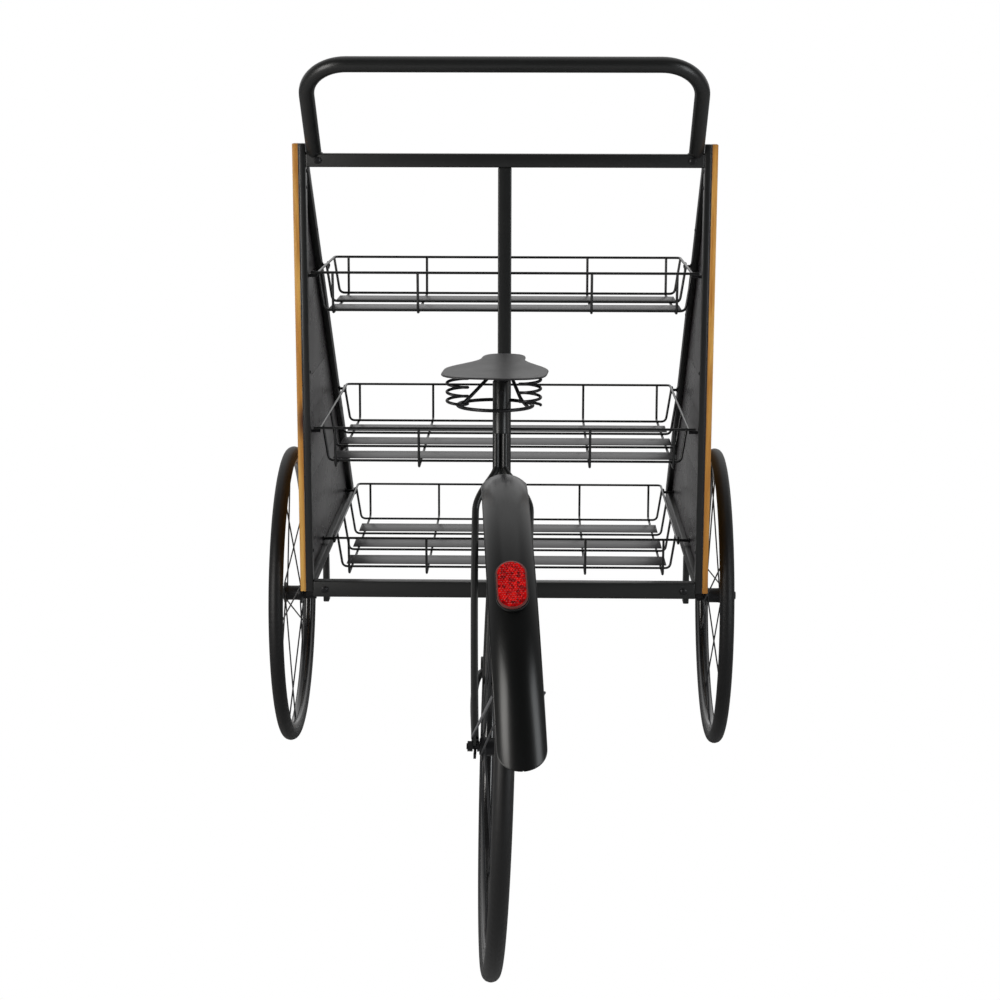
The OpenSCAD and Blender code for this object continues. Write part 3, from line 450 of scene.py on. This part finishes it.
# Up one leg, round two bends and down the other: the bends are arcs in the leaning plane
def makeHandle():
    x = barX - handle["inset"]
    foot = Vector((0, rackY + handle["footBack"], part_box("top_cross_tube")[1].z))
    lean = Vector((0, -handle["lean"], handle["rise"]))
    reach, up = lean.length, lean.normalized()
    r = handle["bend"]
    flat = [(-x, -handle["sunk"])]
    for a in np.linspace(180, 90, 17):
        flat.append((-x + r + r * math.cos(math.radians(a)), reach - r + r * math.sin(math.radians(a))))
    flat += [(-p[0], p[1]) for p in reversed(flat)]
    path = [foot + Vector((p[0], 0, 0)) + up * p[1] for p in flat]
    shapes = [tube(path, handle["radius"], 32)]
    # weld beads where the legs meet the cross tube
    for sign in (-1, 1):
        half = handle["radius"] + handle["weldGap"]
        slanted = handle["weldShare"] * half * reach / handle["rise"]
        ring = [(sign * x + half * math.cos(a), foot.y + slanted * math.sin(a), foot.z + 0.0004)
                for a in np.linspace(0, 2 * math.pi, 40)]
        shapes.append(tube(ring, handle["weld"], 8, capEnds=False))
    build("push_handle_tube", shapes, paint, "root", ["push_handle"])


makeHandle()
print("handle built")


basket = {"wire": 0.0025, "gap": 0.013, "height": 0.072, "taper": 0.011, "pitch": 0.153,
          "slatWidth": 0.075, "slat": 0.0015, "bend": 0.01, "cross": (-0.92, -0.465, 0.465, 0.92),
          "postGap": 0.003, "pegRadius": 0.003, "hookSlack": 0.0005, "hookLeg": 0.007, "pegDrop": 0.008,
          "frontHook": 0.04, "rearHook": 0.03, "slatShare": 0.35, "wireSink": 0.001}
# rear rim ahead of the rack's rear face, depth, rim height, number of long wires, and whether the rear
# rim reaches out to the posts
baskets = {"top": (0.0315, 0.332, 1.0, 3, True), "middle": (0.0315, 0.556, 0.703, 4, True),
           "bottom": (0.276, 0.556, 0.43, 4, False)}


def makeBasket(name):
    start, depth, rimZ, count, atPosts = baskets[name]
    wire, pitch = basket["wire"], basket["pitch"]
    y0 = rackY + start
    y1 = y0 + depth
    rimX = barX - basket["gap"] - wire
    floorX = rimX - basket["taper"]
    floorZ = rimZ - basket["height"]
    underZ = floorZ - 2 * wire + basket["wireSink"]
    rearX = barX - basket["postGap"] if atPosts else rimX
    first = y0 + (depth - (count - 1) * pitch) / 2
    lines = [[(-rearX, y0, rimZ), (rearX, y0, rimZ)],
             rounded([(-rimX, y0, rimZ), (-rimX, y1, rimZ), (rimX, y1, rimZ), (rimX, y0, rimZ)],
                     basket["bend"])]
    for i in range(count):
        y = first + i * pitch
        lines.append(rounded([(-rimX, y, rimZ), (-floorX, y, floorZ), (floorX, y, floorZ),
                              (rimX, y, rimZ)], basket["bend"]))
    for k in basket["cross"]:
        x = k * rimX
        lines.append(rounded([(x, y0, rimZ), (x, y0 + 0.004, underZ), (x, y1 - 0.004, underZ),
                              (x, y1, rimZ)], basket["bend"]))
    hookX = rimX + 2 * wire * 0.76
    hookR = basket["pegRadius"] + basket["hookSlack"] + wire
    pegZ = rimZ - basket["pegDrop"]
    pegs = [(y1 - basket["frontHook"], pegZ), (y0 + basket["rearHook"], pegZ)]
    if atPosts:
        pegs = [(frontY(pegZ) - barRun / 2, pegZ)]
    for y, z in pegs:
        for sign in (-1, 1):
            bow = [(sign * hookX, y + hookR * math.cos(a), z + hookR * math.sin(a))
                   for a in np.linspace(0, math.pi, 13)]
            legs = [(sign * hookX, y + k * hookR, z - basket["hookLeg"]) for k in (1, -1)]
            lines.append(legs[:1] + bow + legs[1:])
    body = name + "_basket"
    build(body + "_wirework", [tube(p, wire, 12) for p in lines], wirePaint, body,
          [body + "_wires"])
    slats = []
    for i in range(count - 1):
        y = first + i * pitch + (pitch - basket["slatWidth"]) * basket["slatShare"]
        z = floorZ - wire + basket["wireSink"]
        slats.append(block((-floorX + 2 * wire, y, z),
                           (floorX - 2 * wire, y + basket["slatWidth"], z + basket["slat"]), 0.0005))
    build(body + "_slat_plates", slats, slatPaint, body, [body + "_slats"])


for name in baskets:
    makeBasket(name)
print("baskets built")


wheel = {"tyre": 0.029, "rimWidth": 0.021, "rimHeight": 0.012, "spokes": 12, "spoke": 0.0015,
         "flange": 0.022, "treads": 150, "trail": 50, "rearSkew": 2.6, "rearLean": 2}
# radius over the tyre, hub width, and radius of the bore and of the barrel
wheels = {"left": (0.306, 0.044, 0.00805, 0.015), "right": (0.306, 0.044, 0.00805, 0.015),
          "rear": (0.353, 0.05, 0.0048, 0.01375)}


# Tyre: a circle of section radius s swept round the axle, (s cos b, (R + s sin b) cos a, ...);
# the tread cuts s back in three grooves round the wheel and in slanted cross grooves
def tyreShape(r):
    s = wheel["tyre"] / 2
    steps, around = wheel["treads"] * 4, 36
    a = np.arange(steps)[:, None] * 2 * math.pi / steps
    b = np.linspace(-math.pi * 0.30, math.pi * 1.30, around)[None, :]
    crown = np.clip((np.sin(b) - 0.55) / 0.2, 0, 1)
    across = np.cos(b) * s
    rib = np.exp(-(((np.abs(across) - 0.0042) / 0.0008) ** 2)) + np.exp(-((across / 0.0007) ** 2))
    slant = (np.arange(steps)[:, None] + np.round(np.abs(across) / s * 4)) % 4 < 1
    cut = crown * (0.0007 * np.clip(rib, 0, 1) + 0.0003 * slant * (np.abs(across) > 0.005))
    side = 0.0004 * np.exp(-(((np.sin(b) - 0.1) / 0.05) ** 2))
    section = s - cut + side - 0.0004
    radial = r - s + section * np.sin(b)
    x = np.broadcast_to(section * np.cos(b), radial.shape)
    return grid(np.stack([x, radial * np.cos(a), radial * np.sin(a)], -1), True, True)


# Rim: a channel with rolled edges and a well, turned round the axle
def rimShape(r):
    seat = r - wheel["tyre"] + 0.005
    w, h = wheel["rimWidth"] / 2, wheel["rimHeight"]
    half = [(w - 0.0022, seat - 0.0005), (w - 0.001, seat + 0.0002), (w, seat - 0.0008),
            (w, seat - 0.003), (w - 0.0006, seat - h * 0.45), (w * 0.8, seat - h * 0.72),
            (w * 0.55, seat - h * 0.93), (w * 0.25, seat - h), (0, seat - h)]
    profile = half + [(-x, y) for x, y in reversed(half[:-1])]
    return revolve(profile, 180)


def spokeShapes(r, hubWidth):
    shapes = []
    rimR = r - wheel["tyre"] + 0.005 - wheel["rimHeight"] + 0.002
    flangeX, holeR = hubWidth / 2 - 0.005, wheel["flange"] - 0.004
    for i in range(wheel["spokes"]):
        side = 1 if i % 2 == 0 else -1
        trail = 1 if (i // 2) % 2 == 0 else -1
        a = i * 2 * math.pi / wheel["spokes"]
        b = a + trail * math.radians(wheel["trail"])
        foot = np.array([side * (flangeX + trail * 0.0026), holeR * math.cos(b), holeR * math.sin(b)])
        head = np.array([side * 0.002, rimR * math.cos(a), rimR * math.sin(a)])
        line = (head - foot) / np.linalg.norm(head - foot)
        shapes.append(tube([foot, head], wheel["spoke"], 12))
        nipple = [head - line * t for t in (-0.001, 0.012, 0.0125)]
        shapes.append(tube(nipple, [0.0024, 0.0022, 0.0016], 8))
        bend = [foot + [side * trail * t, 0, 0] for t in (0.0012, -0.0045)]
        shapes.append(tube(bend, 0.0019, 10))
    return shapes


def hubShape(width, bore, barrel):
    w = width / 2
    f = wheel["flange"]
    half = [(0, barrel), (w * 0.4, barrel), (w - 0.0085, barrel + 0.001), (w - 0.0068, f - 0.001),
            (w - 0.0062, f), (w - 0.0038, f), (w - 0.0032, f - 0.001), (w - 0.0024, barrel + 0.002),
            (w - 0.0008, barrel - 0.0005), (w, barrel - 0.0015), (w, bore)]
    profile = half + [(-x, y) for x, y in reversed(half[1:])]
    return revolve(profile, 64)


def makeWheel(name, r, hubWidth, bore, barrel, matrix):
    body = name + "_wheel"
    build(name + "_tyre_tread", [placed(tyreShape(r), matrix)], rubber, body, [name + "_tyre"], 30)
    build(name + "_rim_channel", [placed(rimShape(r), matrix)], gloss, body, [name + "_rim"], 40)
    build(name + "_spoke_set", [placed(s, matrix) for s in spokeShapes(r, hubWidth)], spokeSteel, body,
          [name + "_spokes"])
    build(name + "_hub_shell", [placed(hubShape(hubWidth, bore, barrel), matrix)], hardware, body,
          [name + "_hub"], 30)


joints = {j["name"]: j for j in frame["joints"]}
for name, sizes in wheels.items():
    spin = joints[name + "_wheel_spin"]
    turn = Vector((1, 0, 0)).rotation_difference(Vector(spin["axis"])).to_matrix().to_4x4()
    if name == "rear":
        turn = (Matrix.Rotation(math.radians(wheel["rearSkew"]), 4, "Z")
                @ Matrix.Rotation(math.radians(wheel["rearLean"]), 4, "Y"))
    makeWheel(name, *sizes, Matrix.Translation(spin["pos_m"]) @ turn)
print("wheels built")


fender = {"radius": 0.402, "width": 0.067, "sheet": 0.0015, "crown": 0.015, "rise": 0.019,
          "skew": 2.2, "lean": 3.2, "shift": 0.021, "pivot": 0.44, "frontAngle": 4, "endAngle": 12,
          "endLength": 0.03, "strutAngle": 27, "strut": 0.002,
          "footHalf": 0.034, "footBack": 0.004, "footRise": 0.018,
          "reflectorAngle": 49, "lensWidth": 0.046, "lensLength": 0.082, "cell": 0.0042}
rearY, rearR = joints["rear_wheel_spin"]["pos_m"][1], wheels["rear"][0]
atFender = (Matrix.Translation((fender["shift"], rackY - fender["pivot"], 0))
            @ Matrix.Rotation(math.radians(fender["skew"]), 4, "Z")
            @ Matrix.Translation((0, rearY - rackY + fender["pivot"], rearR))
            @ Matrix.Rotation(math.radians(-fender["lean"]), 4, "Y")
            @ Matrix.Translation((0, 0, fender["rise"])))


# Fender: an arc of the crown circle swept round the axle, its half width w(a) drawn in at the end
# as W (1 - (1 - t)^p)^(1/2); the point at share u across is (u w, R(u) cos a, R(u) sin a)
def makeFender():
    w, drop = fender["width"] / 2, fender["crown"]
    crownR = (w * w + drop * drop) / (2 * drop)
    start, stop = math.radians(fender["frontAngle"]), math.radians(180 - fender["endAngle"])
    turn = fender["endLength"] / fender["radius"]
    ending = stop - turn * np.linspace(1, 0, 24)[1:] ** 2.4
    a = np.concatenate([np.linspace(start, stop - turn, 130), ending])
    t = np.clip((stop - a) / turn, 0, 1)
    half = w * np.sqrt(np.clip(1 - (1 - t) ** 2.6, 0.0004, 1))
    u = np.sin(np.linspace(-math.pi / 2, math.pi / 2, 33))
    x = u[None, :] * half[:, None]
    dip = crownR - np.sqrt(crownR ** 2 - x ** 2)
    layers = []
    for inset in (0, fender["sheet"]):
        radial = fender["radius"] - dip - inset
        layers.append(np.stack([x, radial * np.cos(a)[:, None], radial * np.sin(a)[:, None]], -1))
    outer, inner = layers
    section = np.concatenate([outer, inner[:, ::-1]], axis=1)
    shell = grid(section, wrapV=True, capEnds=True)
    rims = []
    for j in (0, -1):
        rims.append(tube((outer[:, j] + inner[:, j]) / 2, 0.001, 8))
    build("rear_fender_shell", [placed(s, atFender) for s in [shell] + rims], fenderPaint, "root",
          ["rear_fender"], 30)


makeFender()


def stadium(width, length, steps=28):
    r = width / 2
    out = []
    for centre, base in ((length / 2 - r, 0), (-(length / 2 - r), math.pi)):
        for k in range(steps + 1):
            a = base + math.pi * k / steps
            out.append((r * math.cos(a), centre + r * math.sin(a)))
    return out


# Reflector: a backing, a rim and a lens of small six-sided pyramids in staggered rows
def makeReflector():
    m = atFender @ Matrix.Rotation(math.radians(90 - fender["reflectorAngle"]), 4, "X")
    m = m @ Matrix.Translation((0, 0, fender["radius"] + 0.0005))
    w, l = fender["lensWidth"], fender["lensLength"]
    base = prism([(x, y, 0) for x, y in stadium(w, l)], (0, 0, 0.0042), 0.0008)
    build("reflector_backing", [placed(base, m)], paint, "root", ["reflector_base"])
    rim = prism([(x, y, 0.0042) for x, y in stadium(w - 0.003, l - 0.003)], (0, 0, 0.0036), 0.0007)
    build("reflector_rim", [placed(rim, m)], lensRim, "root", [])
    inner = stadium(w - 0.0075, l - 0.0075)
    plate = prism([(x, y, 0.0066) for x, y in inner], (0, 0, 0.0016), 0.0003)
    cells, cell = [], fender["cell"]
    for i in range(-6, 7):
        for j in range(-11, 12):
            cx, cy = (i + (j % 2) / 2) * cell, j * cell * 0.87
            edge = max(0.0, abs(cy) - (l - w) / 2)
            if math.hypot(cx, edge) > w / 2 - 0.0062:
                continue
            ring = [(cx + cell * 0.56 * math.cos(k * math.pi / 3 + math.pi / 6),
                     cy + cell * 0.56 * math.sin(k * math.pi / 3 + math.pi / 6), 0.0081) for k in range(6)]
            tip = (cx, cy, 0.00905)
            cells.append((np.array(ring + [tip]), [(k, (k + 1) % 6, 6) for k in range(6)]))
    build("reflector_prisms", [placed(s, m) for s in [plate] + cells], lensRedPaintedGlints, "root",
          ["reflector_lens"], 10)


makeReflector()


# Struts: straight rods from beside the dropouts to the fender's edges
def makeStruts():
    radial = fender["radius"] - fender["crown"]
    a, r = math.radians(fender["strutAngle"]), fender["strut"]
    shapes = []
    for sign in (-1, 1):
        foot = Vector((sign * (fender["footHalf"] + r), rearY - fender["footBack"],
                       rearR + fender["footRise"]))
        head = atFender @ Vector((sign * (fender["width"] / 2 + r - 0.0006), -radial * math.cos(a),
                                  radial * math.sin(a)))
        shapes.append(tube([foot, head], r, 14))
    build("fender_strut_rods", shapes, strutSteel, "root", ["fender_struts"])


makeStruts()
print("fender built")


stays = {"radius": 0.006, "spread": 0.092, "shift": 0.005, "dropout": 0.064, "tubeTop": 0.858,
         "tube": 0.014, "shell": 0.019, "shellWidth": 0.068, "bow": 0.013, "weldDrop": 0.087,
         "weldStep": 0.0285, "kneeDrop": 0.057, "wideDrop": 0.123, "wideBack": 0.076,
         "shellStart": 0.026, "dropoutAhead": 0.02, "dropoutRise": 0.014}
seatY = (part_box("seat_tube")[0].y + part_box("seat_tube")[1].y) / 2


def ease(t):
    return t * t * (3 - 2 * t)


# Seat stay: down behind the seat tube, out round the fender with x eased over the middle part,
# then in to the dropout with x following t^1.6
def seatStay(sign):
    topZ = stays["tubeTop"] - stays["weldDrop"]
    knee, wide = topZ - stays["kneeDrop"], topZ - stays["wideDrop"]
    r = stays["radius"]
    startX, back = r + 0.001, seatY - stays["tube"] - r + 0.001
    wideX, endX = stays["spread"] / 2 + sign * stays["shift"], stays["dropout"] / 2
    wideY = seatY - stays["wideBack"]
    path = [(sign * startX, back - 0.003 * i, topZ - stays["weldStep"] * i) for i in (0, 1, 2)]
    for t in np.linspace(0, 1, 20)[1:]:
        path.append((sign * (startX + (wideX - startX) * ease(t)), back - 0.006 + (wideY - back + 0.006) * t,
                     knee + (wide - knee) * (t * 0.6 + t * t * 0.4)))
    for t in np.linspace(0, 1, 8)[1:]:
        path.append((sign * (wideX + (endX - wideX) * t ** 1.6), wideY + (rearY - wideY) * t,
                     wide + (rearR + stays["dropoutRise"] - wide) * t))
    return tube(path, r, 20)


# Chain stay: out from the shell round the tyre by a bow of sin(pi t^0.55), then back to the dropout
def chainStay(sign):
    path = []
    startX, endX = stays["shellStart"], stays["dropout"] / 2
    startY, endY = seatY - stays["shell"] + 0.002, rearY + stays["dropoutAhead"]
    for t in np.linspace(0, 1, 25):
        path.append((sign * (startX + (endX - startX) * t + stays["bow"] * math.sin(math.pi * t ** 0.55)),
                     startY + (endY - startY) * t, rearR))
    return tube(path, stays["radius"], 20)


def makeRearFrame():
    for name, sign in (("left", -1), ("right", 1)):
        for part, shape in (("_seat_stay", seatStay(sign)), ("_chain_stay", chainStay(sign))):
            build(name + part + "_tube", [shape], paint, "root", [name + part])
    foot = rearR - 0.016
    length = stays["tubeTop"] - foot
    r, half, shell = stays["tube"], stays["shellWidth"] / 2, stays["shell"]
    profile = [(0, 0.002), (0, r), (length - 0.0012, r), (length, r - 0.0008),
               (length, r - 0.0019), (length - 0.02, r - 0.0019)]
    upright = Matrix.Translation((0, seatY, foot)) @ Matrix.Rotation(-math.pi / 2, 4, "Y")
    ends = [(half - 0.02, shell - 0.0031), (half, shell - 0.003), (half, shell - 0.0006),
            (half - 0.0008, shell)]
    across = ends + [(-x, y) for x, y in reversed(ends)]
    shapes = [placed(revolve(profile, 48, closed=False), upright),
              placed(revolve(across, 48, closed=False), Matrix.Translation((0, seatY, rearR)))]
    build("seat_tube_shell", shapes, paint, "root", ["seat_tube"])


makeRearFrame()
print("rear frame built")


saddle = {"width": 0.177, "length": 0.25, "sheet": 0.003, "rear": -0.104, "turn": 5, "tip": 1.7,
          "tipY": -0.026, "height": 0.877, "shift": 0.006, "springX": 0.061, "springY": -0.058,
          "spring": 0.04, "wire": 0.0025, "turns": 3, "springDrop": 0.052, "rail": 0.003,
          "railX": 0.02, "railAhead": 0.024, "railBehind": 0.012, "noseHalf": 0.014, "noseInset": 0.03,
          "hoopReach": 0.058, "hoopAhead": 0.024, "clampHalf": 0.026, "clampDepth": 0.015,
          "clampHeight": 0.008,
          "backEnd": 0.28, "waistStart": 0.33, "noseStart": 0.8, "noseShare": 0.43}
saddleZ, clampZ = saddle["height"], stays["tubeTop"] + 0.003
springLow = saddleZ - saddle["springDrop"]
slant = math.tan(math.radians(saddle["tip"]))
atSaddle = (Matrix.Translation((-saddle["shift"], seatY, 0))
            @ Matrix.Rotation(math.radians(-saddle["turn"]), 4, "Z"))
atPlate = (atSaddle @ Matrix.Translation((0, saddle["tipY"], saddleZ))
           @ Matrix.Rotation(math.radians(saddle["tip"]), 4, "X")
           @ Matrix.Translation((0, -saddle["tipY"], 0)))


def plateZ(y):
    return saddleZ + (y - saddle["tipY"]) * slant


# Half width at share s of the length from the rear edge: a round back W (1 - (1 - s/b)^4)^0.31,
# a waist eased down to the nose, and a blunt nose N (1 - u^3)^0.4
def saddleHalf(s):
    back, waist, nose = saddle["backEnd"], saddle["waistStart"], saddle["noseStart"]
    share = saddle["noseShare"]
    if s < back:
        return (1 - (1 - s / back) ** 4) ** 0.31
    if s < nose:
        return 1 - (1 - share) * ease(max(0.0, (s - waist) / (nose - waist)))
    return share * (1 - ((s - nose) / (1 - nose)) ** 3) ** 0.4


def saddleOutline():
    shares = (1 - np.cos(np.linspace(0, math.pi, 73))) / 2
    return np.array([(saddleHalf(s) * saddle["width"] / 2, saddle["rear"] + s * saddle["length"])
                     for s in np.clip(shares, 0, 1)])


# Plate: each ring is the outline drawn in and set to a height, so that the edge rolls over
def makeSaddle():
    right = saddleOutline()
    outline = np.vstack([right, right[-2:0:-1] * [-1, 1]])
    centre = np.array([0, saddle["rear"] + saddle["length"] * 0.42])
    reach = np.linalg.norm(outline - centre, axis=1)[:, None]
    rings = []
    t = saddle["sheet"]
    for inset, z in ((0.0012, 0), (0.0002, 0.0004), (0, 0.0012), (0.0004, t * 0.72), (0.0014, t * 0.93),
                     (0.004, t), (0.012, t - 0.0002), (0.03, t - 0.0008)):
        flat = centre + (outline - centre) * (1 - inset / reach)
        rings.append(np.column_stack([flat, np.full(len(flat), z)]))
    rings.append(np.column_stack([centre + (outline - centre) * 0.3, np.full(len(outline), t - 0.001)]))
    plate = grid(np.array(rings), wrapV=True, capEnds=True)
    build("saddle_top_plate", [placed(plate, atPlate)], saddlePaint, "saddle_top", ["saddle_plate"],
          50)


makeSaddle()


# Spring: a helix (r cos a, r sin a, c a), its pitch closing up over a short run at each end
def makeSprings():
    wire = saddle["wire"]
    r = saddle["spring"] / 2 - wire
    height = plateZ(saddle["springY"] - saddle["spring"] / 2) - 0.001 - springLow
    turns = saddle["turns"] + 0.3
    share = np.linspace(0, 1, int(turns * 28))
    rise = np.clip((share * turns - 0.15) / (turns - 0.3), 0, 1)
    for name, sign in (("left", -1), ("right", 1)):
        angle = 2 * math.pi * turns * share * sign
        path = np.column_stack([sign * saddle["springX"] + r * np.cos(angle),
                                saddle["springY"] + r * np.sin(angle),
                                springLow + wire + rise * (height - 2 * wire)])
        piece = build(name + "_saddle_spring", [placed(tube(path, wire, 14), atSaddle)], hardware,
                      "saddle_base", [])
        piece.parent = None
        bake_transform(piece)
        if sign > 0:
            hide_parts("saddle_springs")


makeSprings()


# Two rails from the nose past the post to the springs, and an oval hoop under the springs
def makeSaddleFrame():
    r = saddle["rail"]
    noseY = saddle["rear"] + saddle["length"] - saddle["noseInset"]
    noseZ, footZ = plateZ(noseY) - r - 0.0005, springLow - r
    sx, sy = saddle["springX"], saddle["springY"]
    half = saddle["noseHalf"]
    shapes = [tube([(-half, noseY, noseZ), (half, noseY, noseZ)], r, 16)]
    for sign in (-1, 1):
        railX, railZ = sign * saddle["railX"] + saddle["shift"], clampZ + saddle["clampHeight"] / 2
        rail = rounded([(sign * half, noseY, noseZ), (railX, saddle["railAhead"], railZ),
                        (railX, -saddle["railBehind"], railZ),
                        (sign * (sx - 0.016), sy + 0.012, footZ + 0.011),
                        (sign * (sx - 0.004), sy + 0.004, footZ + 0.001)], 0.01, 8)
        shapes.append(tube(rail, r, 16))
    hoop = [((sx + 0.002) * math.cos(a), sy + saddle["hoopAhead"] + saddle["hoopReach"] * math.sin(a), footZ)
            for a in np.linspace(0, 2 * math.pi, 73)[:-1] + math.radians(30)]
    shapes.append(tube(hoop + hoop[:1], r, 16, capEnds=False))
    build("saddle_wire_frame", [placed(s, atSaddle) for s in shapes], hardware, "saddle_base",
          ["saddle_frame"])
    turned = Matrix.Translation((0, seatY, 0)) @ Matrix.Rotation(math.radians(-saddle["turn"]), 4, "Z")
    across, deep = saddle["clampHalf"], saddle["clampDepth"]
    clamp = block((-across, -deep, clampZ), (across, deep, clampZ + saddle["clampHeight"]), 0.0015, 3)
    build("saddle_clamp_body", [placed(clamp, turned)], hardware, "saddle_base", ["saddle_clamp"])


makeSaddleFrame()
print("saddle built")

# Simple turned and cut parts keep their CAD shape and take a finish here
for name, part in frame["nodes"].items():
    if not part.hide_render:
        isPaint = name in ("corner_tabs", "dropouts")
        part.data.materials.clear()
        part.data.materials.append(paint if isPaint else hardware)


studio = {"lens": 71.69, "place": (0.0547, -3.5655, 1.3642), "pitch": 12.05, "yaw": -0.96, "roll": 0.11,
          "key": 120.0, "fill": 60.0, "top": 8.0, "nearWorld": 0.07, "farWorld": 0.8, "white": 1.0}


def makeFloor():
    mesh = bpy.data.meshes.new("floor")
    mesh.from_pydata([(-40, -20, 0), (40, -20, 0), (40, 60, 0), (-40, 60, 0)], [], [(0, 1, 2, 3)])
    floor = bpy.data.objects.new("floor", mesh)
    bpy.context.scene.collection.objects.link(floor)
    made = bpy.data.materials.new("floorWhite")
    made.use_nodes = True
    tree = made.node_tree
    shader = tree.nodes["Principled BSDF"]
    shader.inputs["Base Color"].default_value = (0.6, 0.6, 0.6, 1)
    shader.inputs["Roughness"].default_value = 0.9
    seen = node(tree, "LightPath").outputs["Is Camera Ray"]
    glow = node(tree, "Emission", {"Strength": studio["white"]})
    mixed = node(tree, "MixShader", {0: seen, 1: shader.outputs[0], 2: glow.outputs[0]})
    tree.links.new(mixed.outputs[0], tree.nodes["Material Output"].inputs["Surface"])
    mesh.materials.append(made)


def areaLight(name, place, target, size, power, color=(1, 1, 1)):
    data = bpy.data.lights.new(name, "AREA")
    data.shape, data.size, data.size_y = "RECTANGLE", size[0], size[1]
    data.energy, data.color = power, color
    lamp = bpy.data.objects.new(name, data)
    lamp.location = place
    aim = Vector(target) - Vector(place)
    lamp.rotation_mode = "QUATERNION"
    lamp.rotation_quaternion = aim.to_track_quat("-Z", "Y")
    bpy.context.scene.collection.objects.link(lamp)


def makeStudio():
    bpy.context.scene.view_settings.view_transform = "Standard"
    world = bpy.data.worlds.new("studio")
    bpy.context.scene.world = world
    world.use_nodes = True
    tree = world.node_tree
    back = tree.nodes["Background"]
    back.inputs["Color"].default_value = (1, 1, 1, 1)
    ahead = node(tree, "SeparateXYZ", {0: node(tree, "TexCoord").outputs["Generated"]}).outputs["Y"]
    around = node(tree, "MapRange", {0: ahead, 1: -0.1, 2: 0.7, 3: studio["nearWorld"],
                                     4: studio["farWorld"]})
    seen = node(tree, "LightPath").outputs["Is Camera Ray"]
    level = node(tree, "MapRange", {0: seen, 3: around.outputs[0], 4: studio["white"]})
    tree.links.new(level.outputs[0], back.inputs["Strength"])
    middle = (0, 0, 0.7)
    areaLight("keyLight", (-3.5, -3.2, 1.6), middle, (1.9, 2.8), studio["key"], (1, 0.98, 0.95))
    areaLight("fillLight", (3.5, -2.7, 1.5), middle, (1.5, 2.8), studio["fill"], (0.95, 0.98, 1))
    areaLight("topLight", (0, 0.3, 3.6), (0, 0.3, 0), (2.6, 2.6), studio["top"])
    data = bpy.data.cameras.new("camera")
    data.lens, data.sensor_width, data.clip_end = studio["lens"], 36.0, 200.0
    camera = bpy.data.objects.new("camera", data)
    p, y, r = (math.radians(studio[k]) for k in ("pitch", "yaw", "roll"))
    ahead = Vector((math.sin(y) * math.cos(p), math.cos(y) * math.cos(p), -math.sin(p)))
    side = Vector((math.cos(y), -math.sin(y), 0))
    above = side.cross(ahead)
    right = side * math.cos(r) + above * math.sin(r)
    up = above * math.cos(r) - side * math.sin(r)
    turned = Matrix((right, up, -ahead)).transposed().to_4x4()
    camera.matrix_world = Matrix.Translation(studio["place"]) @ turned
    bpy.context.scene.collection.objects.link(camera)
    bpy.context.scene.camera = camera


makeFloor()
makeStudio()
print("studio ready")
